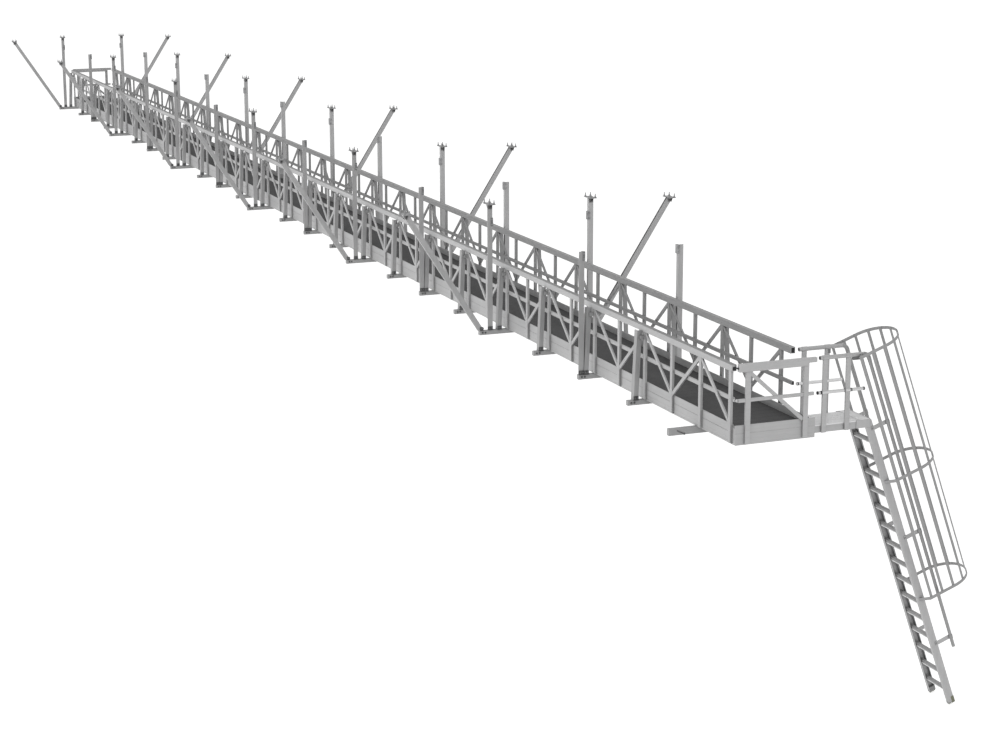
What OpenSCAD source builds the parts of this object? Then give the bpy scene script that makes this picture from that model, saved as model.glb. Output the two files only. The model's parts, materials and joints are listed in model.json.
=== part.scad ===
// Suspended gantry platform with a caged ladder, drawn as a 1:2 scale model in millimetres.
// +X runs along the walkway towards the ladder, +Z is up, and the far side is +Y.
// Every side part is drawn on the near side and mirrored, so both sides always agree.

/* [Walkway] */
// Distance between two main posts
bay = 950; // [800:10:1200]
// Number of bays, a multiple of four so that the last station is a tall hanger
bays = 24; // [8:4:24]
// Distance from the centre line to the outer face of the side posts
half_w = 345; // [310:1:400]
// Height of the deck surface above the underside of the fascia
deck_z = 95; // [85:1:110]
// Height of the fascia, which stands above the deck as a toe board
fascia_h = 148; // [138:1:170]
// Height of the handrail's top
rail_z = 596; // [540:2:700]
// Height of the middle of the knee rail
knee_z = 333; // [280:1:380]

/* [Side truss] */
// Distance from the middle of a cross beam to the middle of the post beside it
post_x = 41; // [36:1:60]
// Width of a post along the walkway
post_w = 36; // [28:1:44]
// Depth of a post across the walkway
post_t = 19; // [14:1:22]
// Height of the handrail's section
chord_h = 48; // [40:1:60]
// Depth of the handrail's section
chord_t = 37; // [30:1:44]
// Width of a diagonal
diag_w = 22; // [16:1:28]
// Height of the knee rail's section
knee_h = 27; // [20:1:36]

/* [Cross beams] */
// Half-length of a short cross beam
beam_short = 468; // [440:2:520]
// Half-length of a long cross beam
beam_long = 591; // [560:2:700]
// Height of a cross beam
beam_h = 40; // [30:1:50]
// Width of a cross beam
beam_w = 36; // [30:1:44]

/* [Hangers] */
// Height of a short column
short_top = 1020; // [900:5:1200]
// Height of the seat of a tall hanger, the top of its head plate
tall_seat = 1138; // [1060:2:1300]
// Distance from the centre line to a tall column
tall_y = 488; // [470:2:520]
// Height of the seat of a slanting hanger
brace_seat = 1094; // [1000:2:1250]
// Distance from the centre line to the head of a slanting hanger
brace_y = 1275; // [1000:5:1500]
// Width of a column across the walkway
column_w = 47; // [36:1:52]
// Depth of a column along the walkway
column_d = 32; // [26:1:38]

/* [Hanger heads] */
// Distance between the studs along the walkway
stud_dx = 104; // [84:1:120]
// Distance between the studs across the walkway
stud_dy = 50; // [40:1:58]
// Diameter of a stud
stud_d = 10; // [8:1:12]
// Height of a stud above the head plate
stud_h = 34; // [24:1:44]
// Thickness of the head plate
head_t = 6; // [4:1:8]

/* [Ladder] */
// Lean of the ladder from upright, in degrees
lean = 19.7; // [12:0.5:24]
// Length of the ladder below the datum, measured along its stiles
ladder_len = 2400; // [1600:20:2800]
// Width over the stiles
ladder_w = 292; // [260:2:330]
// Distance between two rungs
rung_pitch = 155.6; // [140:1:165]
// Inner half-width of the cage
cage_r = 206; // [190:1:230]
// Distance between two cage hoops
hoop_pitch = 1024; // [850:10:1100]
// Number of cage hoops
hoops = 3; // [2:1:3]

/* [Hidden] */

// Overlap that fuses two bars of one frame.
weld = 2;
// Seat of one curved piece in another.
seat = 0.3;

// Fascia: a ribbed extrusion inside the posts, with a thin lip above its body.
fascia_t = 38;
fascia_out = half_w - post_t;
fascia_in = fascia_out - fascia_t;
lip_t = 7;
lip_h = 24;
groove = 2;
groove_h = 4;

// Walkway ends. The ladder end lies past station 0, the blind end past the last station.
end_post_d = 18;
end_x = 0.6126 * bay;
blind_x = -bays * bay - 0.067 * bay;
chord_end_x = end_x - 21;
door_x = 0.222 * bay;
door_knee = 45;

// Decking.
deck_t = 34;
joist_h = 26;
joist_w = 30;

// Side truss.
chord_z = rail_z - chord_h;
chord_y = half_w - post_t / 2;
knee_t = 18;
diag_t = 13;
post_foot = 10;
diag_foot = fascia_h + 14;

// Raking struts, angle sections that lean in beside each main post from station 1.
strut_w = 40;
strut_d = 50;
strut_foot_y = 403;
strut_head_y = 378;
strut_top = chord_z + 8;
strut_bracket_h = 30;
angle_t = 6;

// Column plates.
plate_t = 12;
plate_h = 75;
plate_wrap = 10;
splice_z = 974;

// Slanting hangers.
brace_w = 47;
brace_d = 32;
brace_foot_y = beam_long - 17;
brace_rise = brace_seat - head_t;
brace_lean = atan2(brace_y - brace_foot_y, brace_rise);

// Hanger heads.
head_l = stud_dx + 34;
head_w = stud_dy + 20;
wing_h = 42;
wing_t = 20;
stud_fn = 24;

// Stub beam under the ladder end.
stub_y = 558;
stub_h = 52;
stub_x = -41;

// Landing beside the walkway.
ladder_x = 0.4395 * bay;
ladder_y = half_w + 462;
stile_t = 26;
stile_in_s = -24;
stile_out_s = 33;
stile_web = 5;
stile_out = ladder_w / 2;
landing_y0 = fascia_out;
landing_y1 = ladder_y - 84;
landing_z0 = 25;
landing_z1 = 84;
landing_floor_t = 10;
landing_x0 = ladder_x - stile_out;
landing_x1 = ladder_x + stile_out;
landing_rail_z = 587;
landing_knee_z = 327;
landing_post_w = 37;
landing_hand_y = half_w + 12;
landing_low_y = half_w;
landing_low_len = 393;
rail_d = 32;
tube_d = 25;
tube_fn = 32;

// Ladder and cage. Lengths along the stiles are counted from the datum, positive upwards.
ladder_top = 76;
rung_w = 28;
rung_first = -100;
rung_count = floor((ladder_len + rung_first - 60) / rung_pitch) + 1;
hoop_t = 3;
hoop_h = 24;
hoop_top = 586;
cage_s = 280;
cage_foot_s = -12;
cage_turn_s = 52;
top_foot_s = 98;
bar_w = 22;
bar_t = 3;
bar_angles = [26, 52, 78];
bar_arm_s = [65, 167, 268];
grab_s = 150;
grab_d = 26;
grab_low = -1960;
grab_first = 5;
grab_pitch = 938;
grab_bracket_h = 34;
grab_bend = 50;

// Where the landing's handrail bends down into the grab rail.
bend = 90 - lean;
bend_t = (landing_rail_z - grab_s * sin(lean)) / cos(lean);
bend_y = ladder_y + grab_s * cos(lean) - bend_t * sin(lean);

// The datum: the middle of the seat of the near tall hanger half-way along.
datum_x = -bays / 2 * bay;
datum_y = -tall_y;
datum_z = tall_seat;

tall_stations = [for (k = [4 : 4 : bays]) k];
short_stations = [for (k = [2 : 4 : bays]) k];
plain_stations = [for (k = [1 : 2 : bays]) k];

light = "#b4b4b4";
shade = "#9c9c9c";
dark = "#4e4e4e";
steel = "#5a5a5a";
black = "#1c1c1c";

// ---- Placing ----

module placed() {
    translate([-datum_x, -datum_y, -datum_z]) children();
}

// Draws its children on the near side (-1) or mirrored to the far side (1).
module on_side(side) {
    if (side < 0) children();
    else mirror([0, 1, 0]) children();
}

module at_stations(list) {
    for (k = list) translate([-k * bay, 0, 0]) children();
}

// A box given by its ranges along the three axes.
module block(x, y, z) {
    translate([x[0], y[0], z[0]]) cube([x[1] - x[0], y[1] - y[0], z[1] - z[0]]);
}

// A flat bar in the XZ plane from a to b, w wide, between two distances from the centre line.
module bar_xz(a, b, w, y) {
    run = b - a;
    translate([a[0], y[0], a[1]])
        rotate([0, -atan2(run[1], run[0]), 0])
            translate([0, 0, -w / 2]) cube([norm(run), y[1] - y[0], w]);
}

// A flat bar in the YZ plane from a to b, w wide, between two places along the walkway.
module bar_yz(a, b, w, x) {
    run = b - a;
    translate([x[0], a[0], a[1]])
        rotate([atan2(run[1], run[0]), 0, 0])
            translate([0, 0, -w / 2]) cube([x[1] - x[0], norm(run), w]);
}

// The ladder's own frame: X across, Y outwards from the rungs, Z up the stiles.
module ladder_frame() {
    translate([ladder_x, ladder_y, 0]) rotate([lean, 0, 0]) children();
}

// ---- Decking ----

module deck() {
    color(dark) block([blind_x, end_x - fascia_t], [-fascia_in, fascia_in],
                      [deck_z - deck_t, deck_z]);
}

module deck_joists() {
    color(shade) for (k = [-0.5 : 0.5 : bays]) translate([-k * bay, 0, 0])
        block([-joist_w / 2, joist_w / 2], [-fascia_in, fascia_in],
              [deck_z - deck_t - joist_h, deck_z - deck_t]);
}

// The fascia's section: a body with two grooves in its face, and a lip above that face.
module fascia_section() {
    band = (fascia_h - 2 * groove_h) / 3;
    difference() {
        union() {
            square([fascia_t, fascia_h - lip_h]);
            square([lip_t, fascia_h]);
        }
        for (i = [1 : 2]) translate([-1, i * band + (i - 1) * groove_h]) square([groove + 1, groove_h]);
    }
}

// A fascia along one side. The same profile is laid the same way round on both sides.
module side_fascia(face_y) {
    color(light) translate([blind_x, face_y, 0]) rotate([90, 0, 90])
        linear_extrude(end_x - fascia_t - blind_x) fascia_section();
}

module fascia_near() side_fascia(-fascia_out);
module fascia_far() side_fascia(fascia_in);

// A fascia across one end, its face on the YZ plane.
module end_fascia() {
    rotate([90, 0, 0]) linear_extrude(2 * fascia_out) fascia_section();
}

module fascia_ladder_end() {
    color(light) translate([end_x, fascia_out, 0]) mirror([1, 0, 0]) end_fascia();
}

module fascia_blind_end() {
    color(light) translate([blind_x - fascia_t, fascia_out, 0]) end_fascia();
}

// ---- Side truss ----

module main_post() {
    block([-post_w / 2, post_w / 2], [-half_w, -half_w + post_t], [post_foot, chord_z + weld]);
}

// One bay's pair of diagonals, fanning down from the head of a main post.
module fan(left, right) {
    head = [0, chord_z + weld];
    reach = bay / 2 - post_w / 2 + weld;
    y = [-half_w + weld, -half_w + weld + diag_t];
    if (left) bar_xz(head, [-reach, diag_foot], diag_w, y);
    if (right) bar_xz(head, [reach, diag_foot], diag_w, y);
}

// The whole side: posts, fans, knee rail and handrail, welded where they meet.
// The far side stops short at the landing's doorway.
module side_truss(open_end) {
    rail_end = open_end ? door_x : chord_end_x;
    knee_end = open_end ? door_x + door_knee : post_x + (bay + post_w) / 2;
    last_post = open_end ? 0 : -0.5;
    color(light) union() {
        block([blind_x, rail_end], [-chord_y - chord_t / 2, -chord_y + chord_t / 2], [chord_z, rail_z]);
        block([blind_x, knee_end],
              [-half_w + post_t - weld, -half_w + post_t - weld + knee_t],
              [knee_z - knee_h / 2, knee_z + knee_h / 2]);
        for (k = [last_post : 0.5 : bays]) translate([post_x - k * bay, 0, 0]) main_post();
        for (k = [0 : bays]) translate([post_x - k * bay, 0, 0]) fan(k < bays, k > 0 || !open_end);
    }
}

module truss_near() on_side(-1) side_truss(false);
module truss_far() on_side(1) side_truss(true);

// ---- End railings ----

// A railing across one end: two posts on the fascia's face, a diagonal, a knee rail and
// a handrail. The rails run from beside the near handrail to a thinner sleeve's far end.
module end_railing(far_end) {
    top_h = 57;
    post_y = half_w - 109;
    half_post = 20;
    near_end = -half_w + 30;
    sleeve = [post_y + half_post, far_end];
    color(shade) union() {
        for (s = [-1, 1])
            block([0, end_post_d], [s * post_y - half_post, s * post_y + half_post],
                  [post_foot, rail_z - weld]);
        block([-7, end_post_d + 8], [near_end, sleeve[0] - 10], [chord_z - weld, chord_z - weld + top_h]);
        block([-7, end_post_d + 5], [sleeve[0] - 10 - weld, sleeve[1]], [chord_z + 20, chord_z + 54]);
        block([2, end_post_d - 2], [near_end, far_end - 16], [knee_z - 12, knee_z + 13]);
        bar_yz([-post_y, chord_z], [post_y - half_post, fascia_h], diag_w + 6, [4, end_post_d - 4]);
    }
}

module end_railing_ladder() translate([end_x, 0, 0]) end_railing(half_w - 27);
module end_railing_blind() {
    translate([blind_x - fascia_t, 0, 0]) mirror([1, 0, 0]) end_railing(half_w - 30);
}

// Dark plugs in the open ends of the handrails and of the far knee rail.
module rail_caps() {
    cap = 3;
    edge = 4;
    y = [-chord_y - chord_t / 2 + edge, -chord_y + chord_t / 2 - edge];
    z = [chord_z + edge, rail_z - edge];
    knee_y = -half_w + post_t - weld;
    color(black) {
        on_side(-1) block([chord_end_x, chord_end_x + cap], y, z);
        on_side(1) block([door_x, door_x + cap], y, z);
        on_side(1) block([door_x + door_knee, door_x + door_knee + cap],
                         [knee_y + edge / 2, knee_y + knee_t - edge / 2],
                         [knee_z - knee_h / 2 + edge / 2, knee_z + knee_h / 2 - edge / 2]);
        for (s = [-1, 1]) on_side(s) block([blind_x - cap, blind_x], y, z);
    }
}

// ---- Cross beams, struts and hangers ----

module cross_beam(half) {
    block([-beam_w / 2, beam_w / 2], [-half, half], [-beam_h, 0]);
}

module cross_beams_short() {
    color(shade) at_stations(concat(plain_stations, short_stations)) cross_beam(beam_short);
}

module cross_beams_long() color(shade) at_stations(tall_stations) cross_beam(beam_long);

module stub_beam() {
    color(shade) translate([stub_x, 0, 0])
        block([-beam_w / 2, beam_w / 2], [-stub_y, stub_y], [-stub_h, 0]);
}

// An angle section: a flange on the +X side, and a leg along X at the outer or inner edge.
module angle_section(w, d, leg_out) {
    translate([d / 2 - angle_t, -w / 2]) square([angle_t, w]);
    translate([-d / 2, leg_out ? -w / 2 : w / 2 - angle_t]) square([d, angle_t]);
}

// A channel section, open towards +Y.
module channel_section(w, d) {
    difference() {
        translate([-d / 2, -w / 2]) square([d, w]);
        translate([-d / 2 + angle_t, -w / 2 + angle_t]) square([d - 2 * angle_t, w]);
    }
}

// A raking strut with the bracket that holds its head to the post.
module strut() {
    lean_in = atan2(strut_foot_y - strut_head_y, strut_top);
    overrun = 60;
    union() {
        intersection() {
            translate([0, -strut_foot_y, 0]) rotate([-lean_in, 0, 0]) translate([0, 0, -overrun])
                linear_extrude(strut_top + 2 * overrun) angle_section(strut_w, strut_d, true);
            block([-strut_d, strut_d], [-2 * half_w, 0], [0, strut_top]);
        }
        block([strut_d / 2 - angle_t, post_x], [-strut_head_y - weld, -half_w],
              [chord_z - 2 * strut_bracket_h, chord_z - strut_bracket_h]);
    }
}

module side_struts(side) {
    color(shade) on_side(side) at_stations([1 : bays]) strut();
}

module struts_near() side_struts(-1);
module struts_far() side_struts(1);

module column(y, top) {
    translate([0, y, 0]) linear_extrude(top) angle_section(column_w, column_d, false);
}

module short_column() column(-beam_short + column_w / 2, short_top);

module columns_short_near() color(shade) on_side(-1) at_stations(short_stations) short_column();
module columns_short_far() color(shade) on_side(1) at_stations(short_stations) short_column();

module tall_column() column(-tall_y, tall_seat - head_t);

module columns_tall_near() color(shade) on_side(-1) at_stations(tall_stations) tall_column();
module columns_tall_far() color(shade) on_side(1) at_stations(tall_stations) tall_column();

// The plate on every column, where a longer hanger is bolted on. It lies on the leg's -Y
// face: inside the angle of a near column, and outside that of a far one, where it wraps
// round onto the +X face.
module column_plate(side, y, z) {
    face = side < 0 ? y - angle_t - plate_t : y;
    block([-column_d / 2 + 2, side < 0 ? column_d / 2 - angle_t : column_d / 2 + 3],
          [face, face + plate_t], [z, z + plate_h]);
    if (side > 0)
        block([column_d / 2, column_d / 2 + 3], [y - plate_wrap, y + 1], [z, z + plate_h]);
}

module column_plates() {
    color(steel) for (side = [-1, 1]) on_side(side) {
        at_stations(short_stations)
            column_plate(side, -beam_short + column_w, short_top - plate_h);
        at_stations(tall_stations)
            column_plate(side, -tall_y + column_w / 2, splice_z - plate_h / 2);
    }
}

// A slanting hanger, a channel that is open inwards, cut level at its foot and under its
// head plate.
module brace() {
    overrun = 60;
    intersection() {
        translate([0, -brace_foot_y, 0]) rotate([brace_lean, 0, 0]) translate([0, 0, -overrun])
            linear_extrude(brace_rise / cos(brace_lean) + 2 * overrun)
                channel_section(brace_w, brace_d);
        block([-brace_d, brace_d], [-2 * brace_y, 0], [0, brace_rise]);
    }
}

module braces_near() color(shade) on_side(-1) at_stations(tall_stations) brace();
module braces_far() color(shade) on_side(1) at_stations(tall_stations) brace();

// A hanger head: a plate with four upright studs, and two tapering wings that grip
// the hanger below it. The wings narrow from the plate down to the hanger's face.
module hanger_head(grip) {
    wing_top = (stud_dx - 4) / 2;
    union() {
        translate([-head_l / 2, -head_w / 2, -head_t]) cube([head_l, head_w, head_t]);
        for (s = [-1, 1]) scale([s, 1, 1])
            translate([0, wing_t / 2, 0]) rotate([90, 0, 0]) linear_extrude(wing_t)
                polygon([[grip / 2, -head_t + 1], [wing_top, -head_t + 1], [wing_top, -head_t - 5],
                         [grip / 2 + 3, -head_t - wing_h], [grip / 2, -head_t - wing_h]]);
        for (x = [-1, 1], y = [-1, 1])
            translate([x * stud_dx / 2, y * stud_dy / 2, -head_t + 1])
                cylinder(h = stud_h + head_t - 1, d = stud_d, $fn = stud_fn);
    }
}

module heads_on(side, y, z, grip) {
    color(steel) on_side(side) at_stations(tall_stations) translate([0, -y, z]) hanger_head(grip);
}

module heads_tall_near() heads_on(-1, tall_y, tall_seat, column_d);
module heads_tall_far() heads_on(1, tall_y, tall_seat, column_d);
module heads_brace_near() heads_on(-1, brace_y, brace_seat, brace_d);
module heads_brace_far() heads_on(1, brace_y, brace_seat, brace_d);

// ---- Landing ----

module landing_floor() {
    color(light) block([landing_x0, landing_x1], [landing_y0 + 1, landing_y1],
                       [landing_z1 - landing_floor_t, landing_z1]);
}

module landing_frame() {
    edge = 30;
    z = [landing_z0, landing_z1 - landing_floor_t];
    color(shade) difference() {
        block([landing_x0, landing_x1], [landing_y0, landing_y1], z);
        block([landing_x0 + edge, landing_x1 - edge], [landing_y0 + edge, landing_y1 - edge],
              [z[0] - 1, z[1] + 1]);
    }
}

// A landing railing: two posts on the frame's face, a handrail tube and a knee tube.
module landing_rail() {
    y_posts = [half_w + 39, half_w + 233];
    color(shade) union() {
        for (y = y_posts)
            block([0, end_post_d], [y, y + landing_post_w], [landing_z0, landing_rail_z]);
        rail_tube(landing_hand_y, bend_y - grab_bend * tan(bend / 2), landing_rail_z, rail_d);
        rail_tube(landing_low_y, landing_low_y + landing_low_len, landing_knee_z, tube_d);
    }
}

module rail_tube(y0, y1, z, d) {
    translate([end_post_d / 2, y0, z]) rotate([-90, 0, 0]) cylinder(h = y1 - y0, d = d, $fn = tube_fn);
}

module landing_rail_front() translate([landing_x1, 0, 0]) landing_rail();
module landing_rail_back() translate([landing_x0, 0, 0]) mirror([1, 0, 0]) landing_rail();

module landing_clamps() {
    cap = 8;
    color(black) for (x = [landing_x0 - end_post_d / 2, landing_x1 + end_post_d / 2])
        for (p = [[landing_hand_y, landing_rail_z, rail_d], [landing_low_y, landing_knee_z, tube_d]])
            translate([x, p[0] - cap, p[1]]) rotate([-90, 0, 0]) cylinder(h = cap, d = p[2], $fn = tube_fn);
}

// ---- Ladder ----

// The stiles are channels whose open sides face the rungs.
module ladder_stiles() {
    color(light) ladder_frame() for (s = [-1, 1]) scale([s, 1, 1])
        translate([0, 0, -ladder_len]) linear_extrude(ladder_len + ladder_top) difference() {
            translate([stile_out - stile_t, stile_in_s]) square([stile_t, stile_out_s - stile_in_s]);
            translate([stile_out - stile_t - 1, stile_in_s + stile_web])
                square([stile_t - stile_web + 1, stile_out_s - stile_in_s - 2 * stile_web]);
        }
}

module ladder_rungs() {
    half = stile_out - stile_web;
    color(shade) ladder_frame() for (i = [0 : rung_count - 1])
        translate([0, 0, rung_first - i * rung_pitch])
            block([-half, half], [-rung_w / 2, rung_w / 2], [-rung_w / 2, rung_w / 2]);
}

// The plates that carry the stiles on the end of the landing.
module ladder_brackets() {
    color(light) for (x = [landing_x0 - 5, landing_x1])
        block([x, x + 5], [landing_y1 - 40, ladder_y - 4], [landing_z0, landing_z1 + 3]);
}

// The short tongues that stand up inside the stiles' tops.
module stile_extensions() {
    tongue = [-30, 12];
    color(shade) ladder_frame() for (s = [-1, 1]) scale([s, 1, 1])
        block([stile_out - 2 * stile_web, stile_out - stile_web],
              [stile_in_s + stile_web, stile_out_s - stile_web],
              [ladder_top + tongue[0], ladder_top + tongue[1]]);
}

// A grab rail outside each stile, on three brackets. Its top bends into the handrail.
module grab_rail(side) {
    x = side * (stile_out + end_post_d / 2);
    bracket_t = 6;
    grab_neck = 60;
    tangent = grab_bend * tan(bend / 2);
    color(shade) union() {
        translate([ladder_x + x, bend_y - tangent, landing_rail_z - grab_bend]) rotate([0, -90, 0])
            rotate_extrude(angle = bend, $fn = 3 * tube_fn) translate([grab_bend, 0])
                circle(d = rail_d, $fn = tube_fn);
        ladder_frame() {
            translate([x, grab_s, bend_t - tangent - grab_neck])
                cylinder(h = grab_neck, d1 = grab_d, d2 = rail_d, $fn = tube_fn);
            translate([x, grab_s, grab_low])
                cylinder(h = bend_t - tangent - grab_neck + weld - grab_low, d = grab_d, $fn = tube_fn);
            for (i = [0 : 2]) translate([0, 0, grab_first - i * grab_pitch])
                block(side < 0 ? [-stile_out - bracket_t, -stile_out] : [stile_out, stile_out + bracket_t],
                      [stile_out_s - 20, grab_s], [-grab_bracket_h / 2, grab_bracket_h / 2]);
        }
    }
}

module grab_rail_front() grab_rail(1);
module grab_rail_back() grab_rail(-1);

// One hoop: a half ring and two straight arms. A lower hoop's feet slant in to the stiles,
// and the top hoop's feet slant in to the two handrails.
module hoop(top) {
    arm_out = cage_r + hoop_t;
    inside = top ? 2.5 * hoop_t : hoop_t;
    foot = top ? [stile_out + end_post_d / 2 + rail_d / 2 - seat, top_foot_s] : [stile_out, cage_foot_s];
    color(shade) union() {
        translate([0, cage_s, 0]) intersection() {
            difference() {
                cylinder(h = hoop_h, r = arm_out, center = true, $fn = 96);
                cylinder(h = hoop_h + 2, r = cage_r, center = true, $fn = 96);
            }
            block([-2 * cage_r, 2 * cage_r], [0, 2 * cage_r], [-hoop_h, hoop_h]);
        }
        for (s = [-1, 1]) scale([s, 1, 1]) translate([0, 0, -hoop_h / 2]) linear_extrude(hoop_h)
            polygon([foot, foot + [0, inside], [cage_r, cage_turn_s + inside], [cage_r, cage_s + 1],
                     [arm_out, cage_s + 1], [arm_out, cage_turn_s]]);
    }
}

module cage_hoops() {
    ladder_frame() for (i = [0 : hoops - 1]) translate([0, 0, hoop_top - i * hoop_pitch]) hoop(i == 0);
}

// The cage's bars, on the inside of the hoops: three along each arm and the rest round the
// half ring, the two halves alike.
module cage_bars() {
    low = hoop_top - (hoops - 1) * hoop_pitch - hoop_h / 2;
    high = hoop_top + hoop_h / 2;
    x = [cage_r - bar_t + seat, cage_r + seat];
    color(shade) ladder_frame() for (side = [1, -1]) scale([side, 1, 1]) {
        for (s = bar_arm_s) block(x, [s - bar_w / 2, s + bar_w / 2], [low, high]);
        for (a = bar_angles) translate([0, cage_s, 0]) rotate([0, 0, a])
            block(x, [-bar_w / 2, bar_w / 2], [low, high]);
    }
}

module ladder_feet() {
    color("#55584a") ladder_frame() for (s = [-1, 1])
        block(s < 0 ? [-stile_out + 2, -stile_out + stile_t - 2] : [stile_out - stile_t + 2, stile_out - 2],
              [stile_in_s + 2, stile_out_s - 2], [-ladder_len - 10, -ladder_len]);
}

// ---- Drawing ----

placed() deck();
placed() deck_joists();
placed() fascia_near();
placed() fascia_far();
placed() fascia_ladder_end();
placed() fascia_blind_end();
placed() truss_near();
placed() truss_far();
placed() end_railing_ladder();
placed() end_railing_blind();
placed() rail_caps();
placed() cross_beams_short();
placed() cross_beams_long();
placed() stub_beam();
placed() struts_near();
placed() struts_far();
placed() columns_short_near();
placed() columns_short_far();
placed() columns_tall_near();
placed() columns_tall_far();
placed() column_plates();
placed() braces_near();
placed() braces_far();
placed() heads_tall_near();
placed() heads_tall_far();
placed() heads_brace_near();
placed() heads_brace_far();
placed() landing_floor();
placed() landing_frame();
placed() landing_rail_front();
placed() landing_rail_back();
placed() landing_clamps();
placed() ladder_stiles();
placed() ladder_rungs();
placed() ladder_brackets();
placed() stile_extensions();
placed() grab_rail_front();
placed() grab_rail_back();
placed() cage_hoops();
placed() cage_bars();
placed() ladder_feet();
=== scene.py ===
"""Looks of the suspended gantry platform with its caged ladder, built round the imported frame."""
import json
import logging
import math
from dataclasses import dataclass
from enum import Enum
from typing import Callable, Iterable, Optional, Sequence

import bpy
from mathutils import Matrix, Vector

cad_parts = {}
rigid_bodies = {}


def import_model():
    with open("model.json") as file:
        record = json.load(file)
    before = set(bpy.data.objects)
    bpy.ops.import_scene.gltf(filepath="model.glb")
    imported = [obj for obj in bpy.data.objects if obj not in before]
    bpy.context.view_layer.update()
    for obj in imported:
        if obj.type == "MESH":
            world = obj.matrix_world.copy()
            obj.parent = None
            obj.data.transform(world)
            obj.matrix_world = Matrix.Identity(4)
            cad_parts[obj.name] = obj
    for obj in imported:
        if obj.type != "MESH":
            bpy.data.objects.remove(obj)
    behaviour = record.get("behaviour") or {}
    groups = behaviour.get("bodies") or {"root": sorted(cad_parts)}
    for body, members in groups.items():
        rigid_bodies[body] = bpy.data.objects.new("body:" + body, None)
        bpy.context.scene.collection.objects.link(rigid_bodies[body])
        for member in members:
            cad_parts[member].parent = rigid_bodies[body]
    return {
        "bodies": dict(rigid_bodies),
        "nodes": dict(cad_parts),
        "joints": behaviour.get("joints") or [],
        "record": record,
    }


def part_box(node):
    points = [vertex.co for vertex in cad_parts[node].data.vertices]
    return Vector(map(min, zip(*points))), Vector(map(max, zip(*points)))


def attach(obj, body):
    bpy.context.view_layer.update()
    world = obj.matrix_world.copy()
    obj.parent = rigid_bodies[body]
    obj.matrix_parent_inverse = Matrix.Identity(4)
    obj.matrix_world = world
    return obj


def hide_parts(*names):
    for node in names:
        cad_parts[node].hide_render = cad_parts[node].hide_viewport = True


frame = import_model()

LOG = logging.getLogger("gantry")
BODY = "root"
WHITE = (1.0, 1.0, 1.0)
# Faces that meet at less than the first angle are shaded as one curve, and edges sharper than
# the second are rounded.
SMOOTH_ANGLE = math.radians(35)
ROUNDING_ANGLE = math.radians(40)
# How far layers of one piece run into each other.
OVERLAP = 0.0002

Piece = bpy.types.Object
Socket = bpy.types.NodeSocket
Test = Callable[[Vector, Vector], bool]


class Axis(Enum):
    """The direction in which a profile was drawn or rolled."""

    X = 0
    Y = 1
    Z = 2


class Side(Enum):
    """A side of the walkway, as the sign of its distance from the centre line."""

    NEAR = -1
    FAR = 1


# ---- Finishes ----


class Tree:
    """A node tree, with short calls that add and link its nodes."""

    def __init__(self, tree: bpy.types.NodeTree) -> None:
        """Takes up a node tree."""
        self.tree = tree

    def add(self, kind: str, inputs: Optional[dict] = None, **settings: object) -> bpy.types.Node:
        """Adds a node.

        Args:
            kind: The node's type name without its ShaderNode prefix.
            inputs: Socket values or links, by socket name or number.
            **settings: Properties of the node.

        Returns:
            The new node.
        """
        node = self.tree.nodes.new("ShaderNode" + kind)
        for key, value in settings.items():
            setattr(node, key, value)
        for key, value in (inputs or {}).items():
            self.feed(node.inputs[key], value)
        return node

    def feed(self, socket: Socket, value: object) -> None:
        """Links a socket to another, or sets its value.

        Args:
            socket: The socket to feed.
            value: Another socket, or a plain value.
        """
        if isinstance(value, Socket):
            self.tree.links.new(value, socket)
        else:
            socket.default_value = value

    def math(self, operation: str, a: object, b: object) -> Socket:
        """Gives the result of one arithmetic node."""
        return self.add("Math", {0: a, 1: b}, operation=operation).outputs[0]


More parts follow.
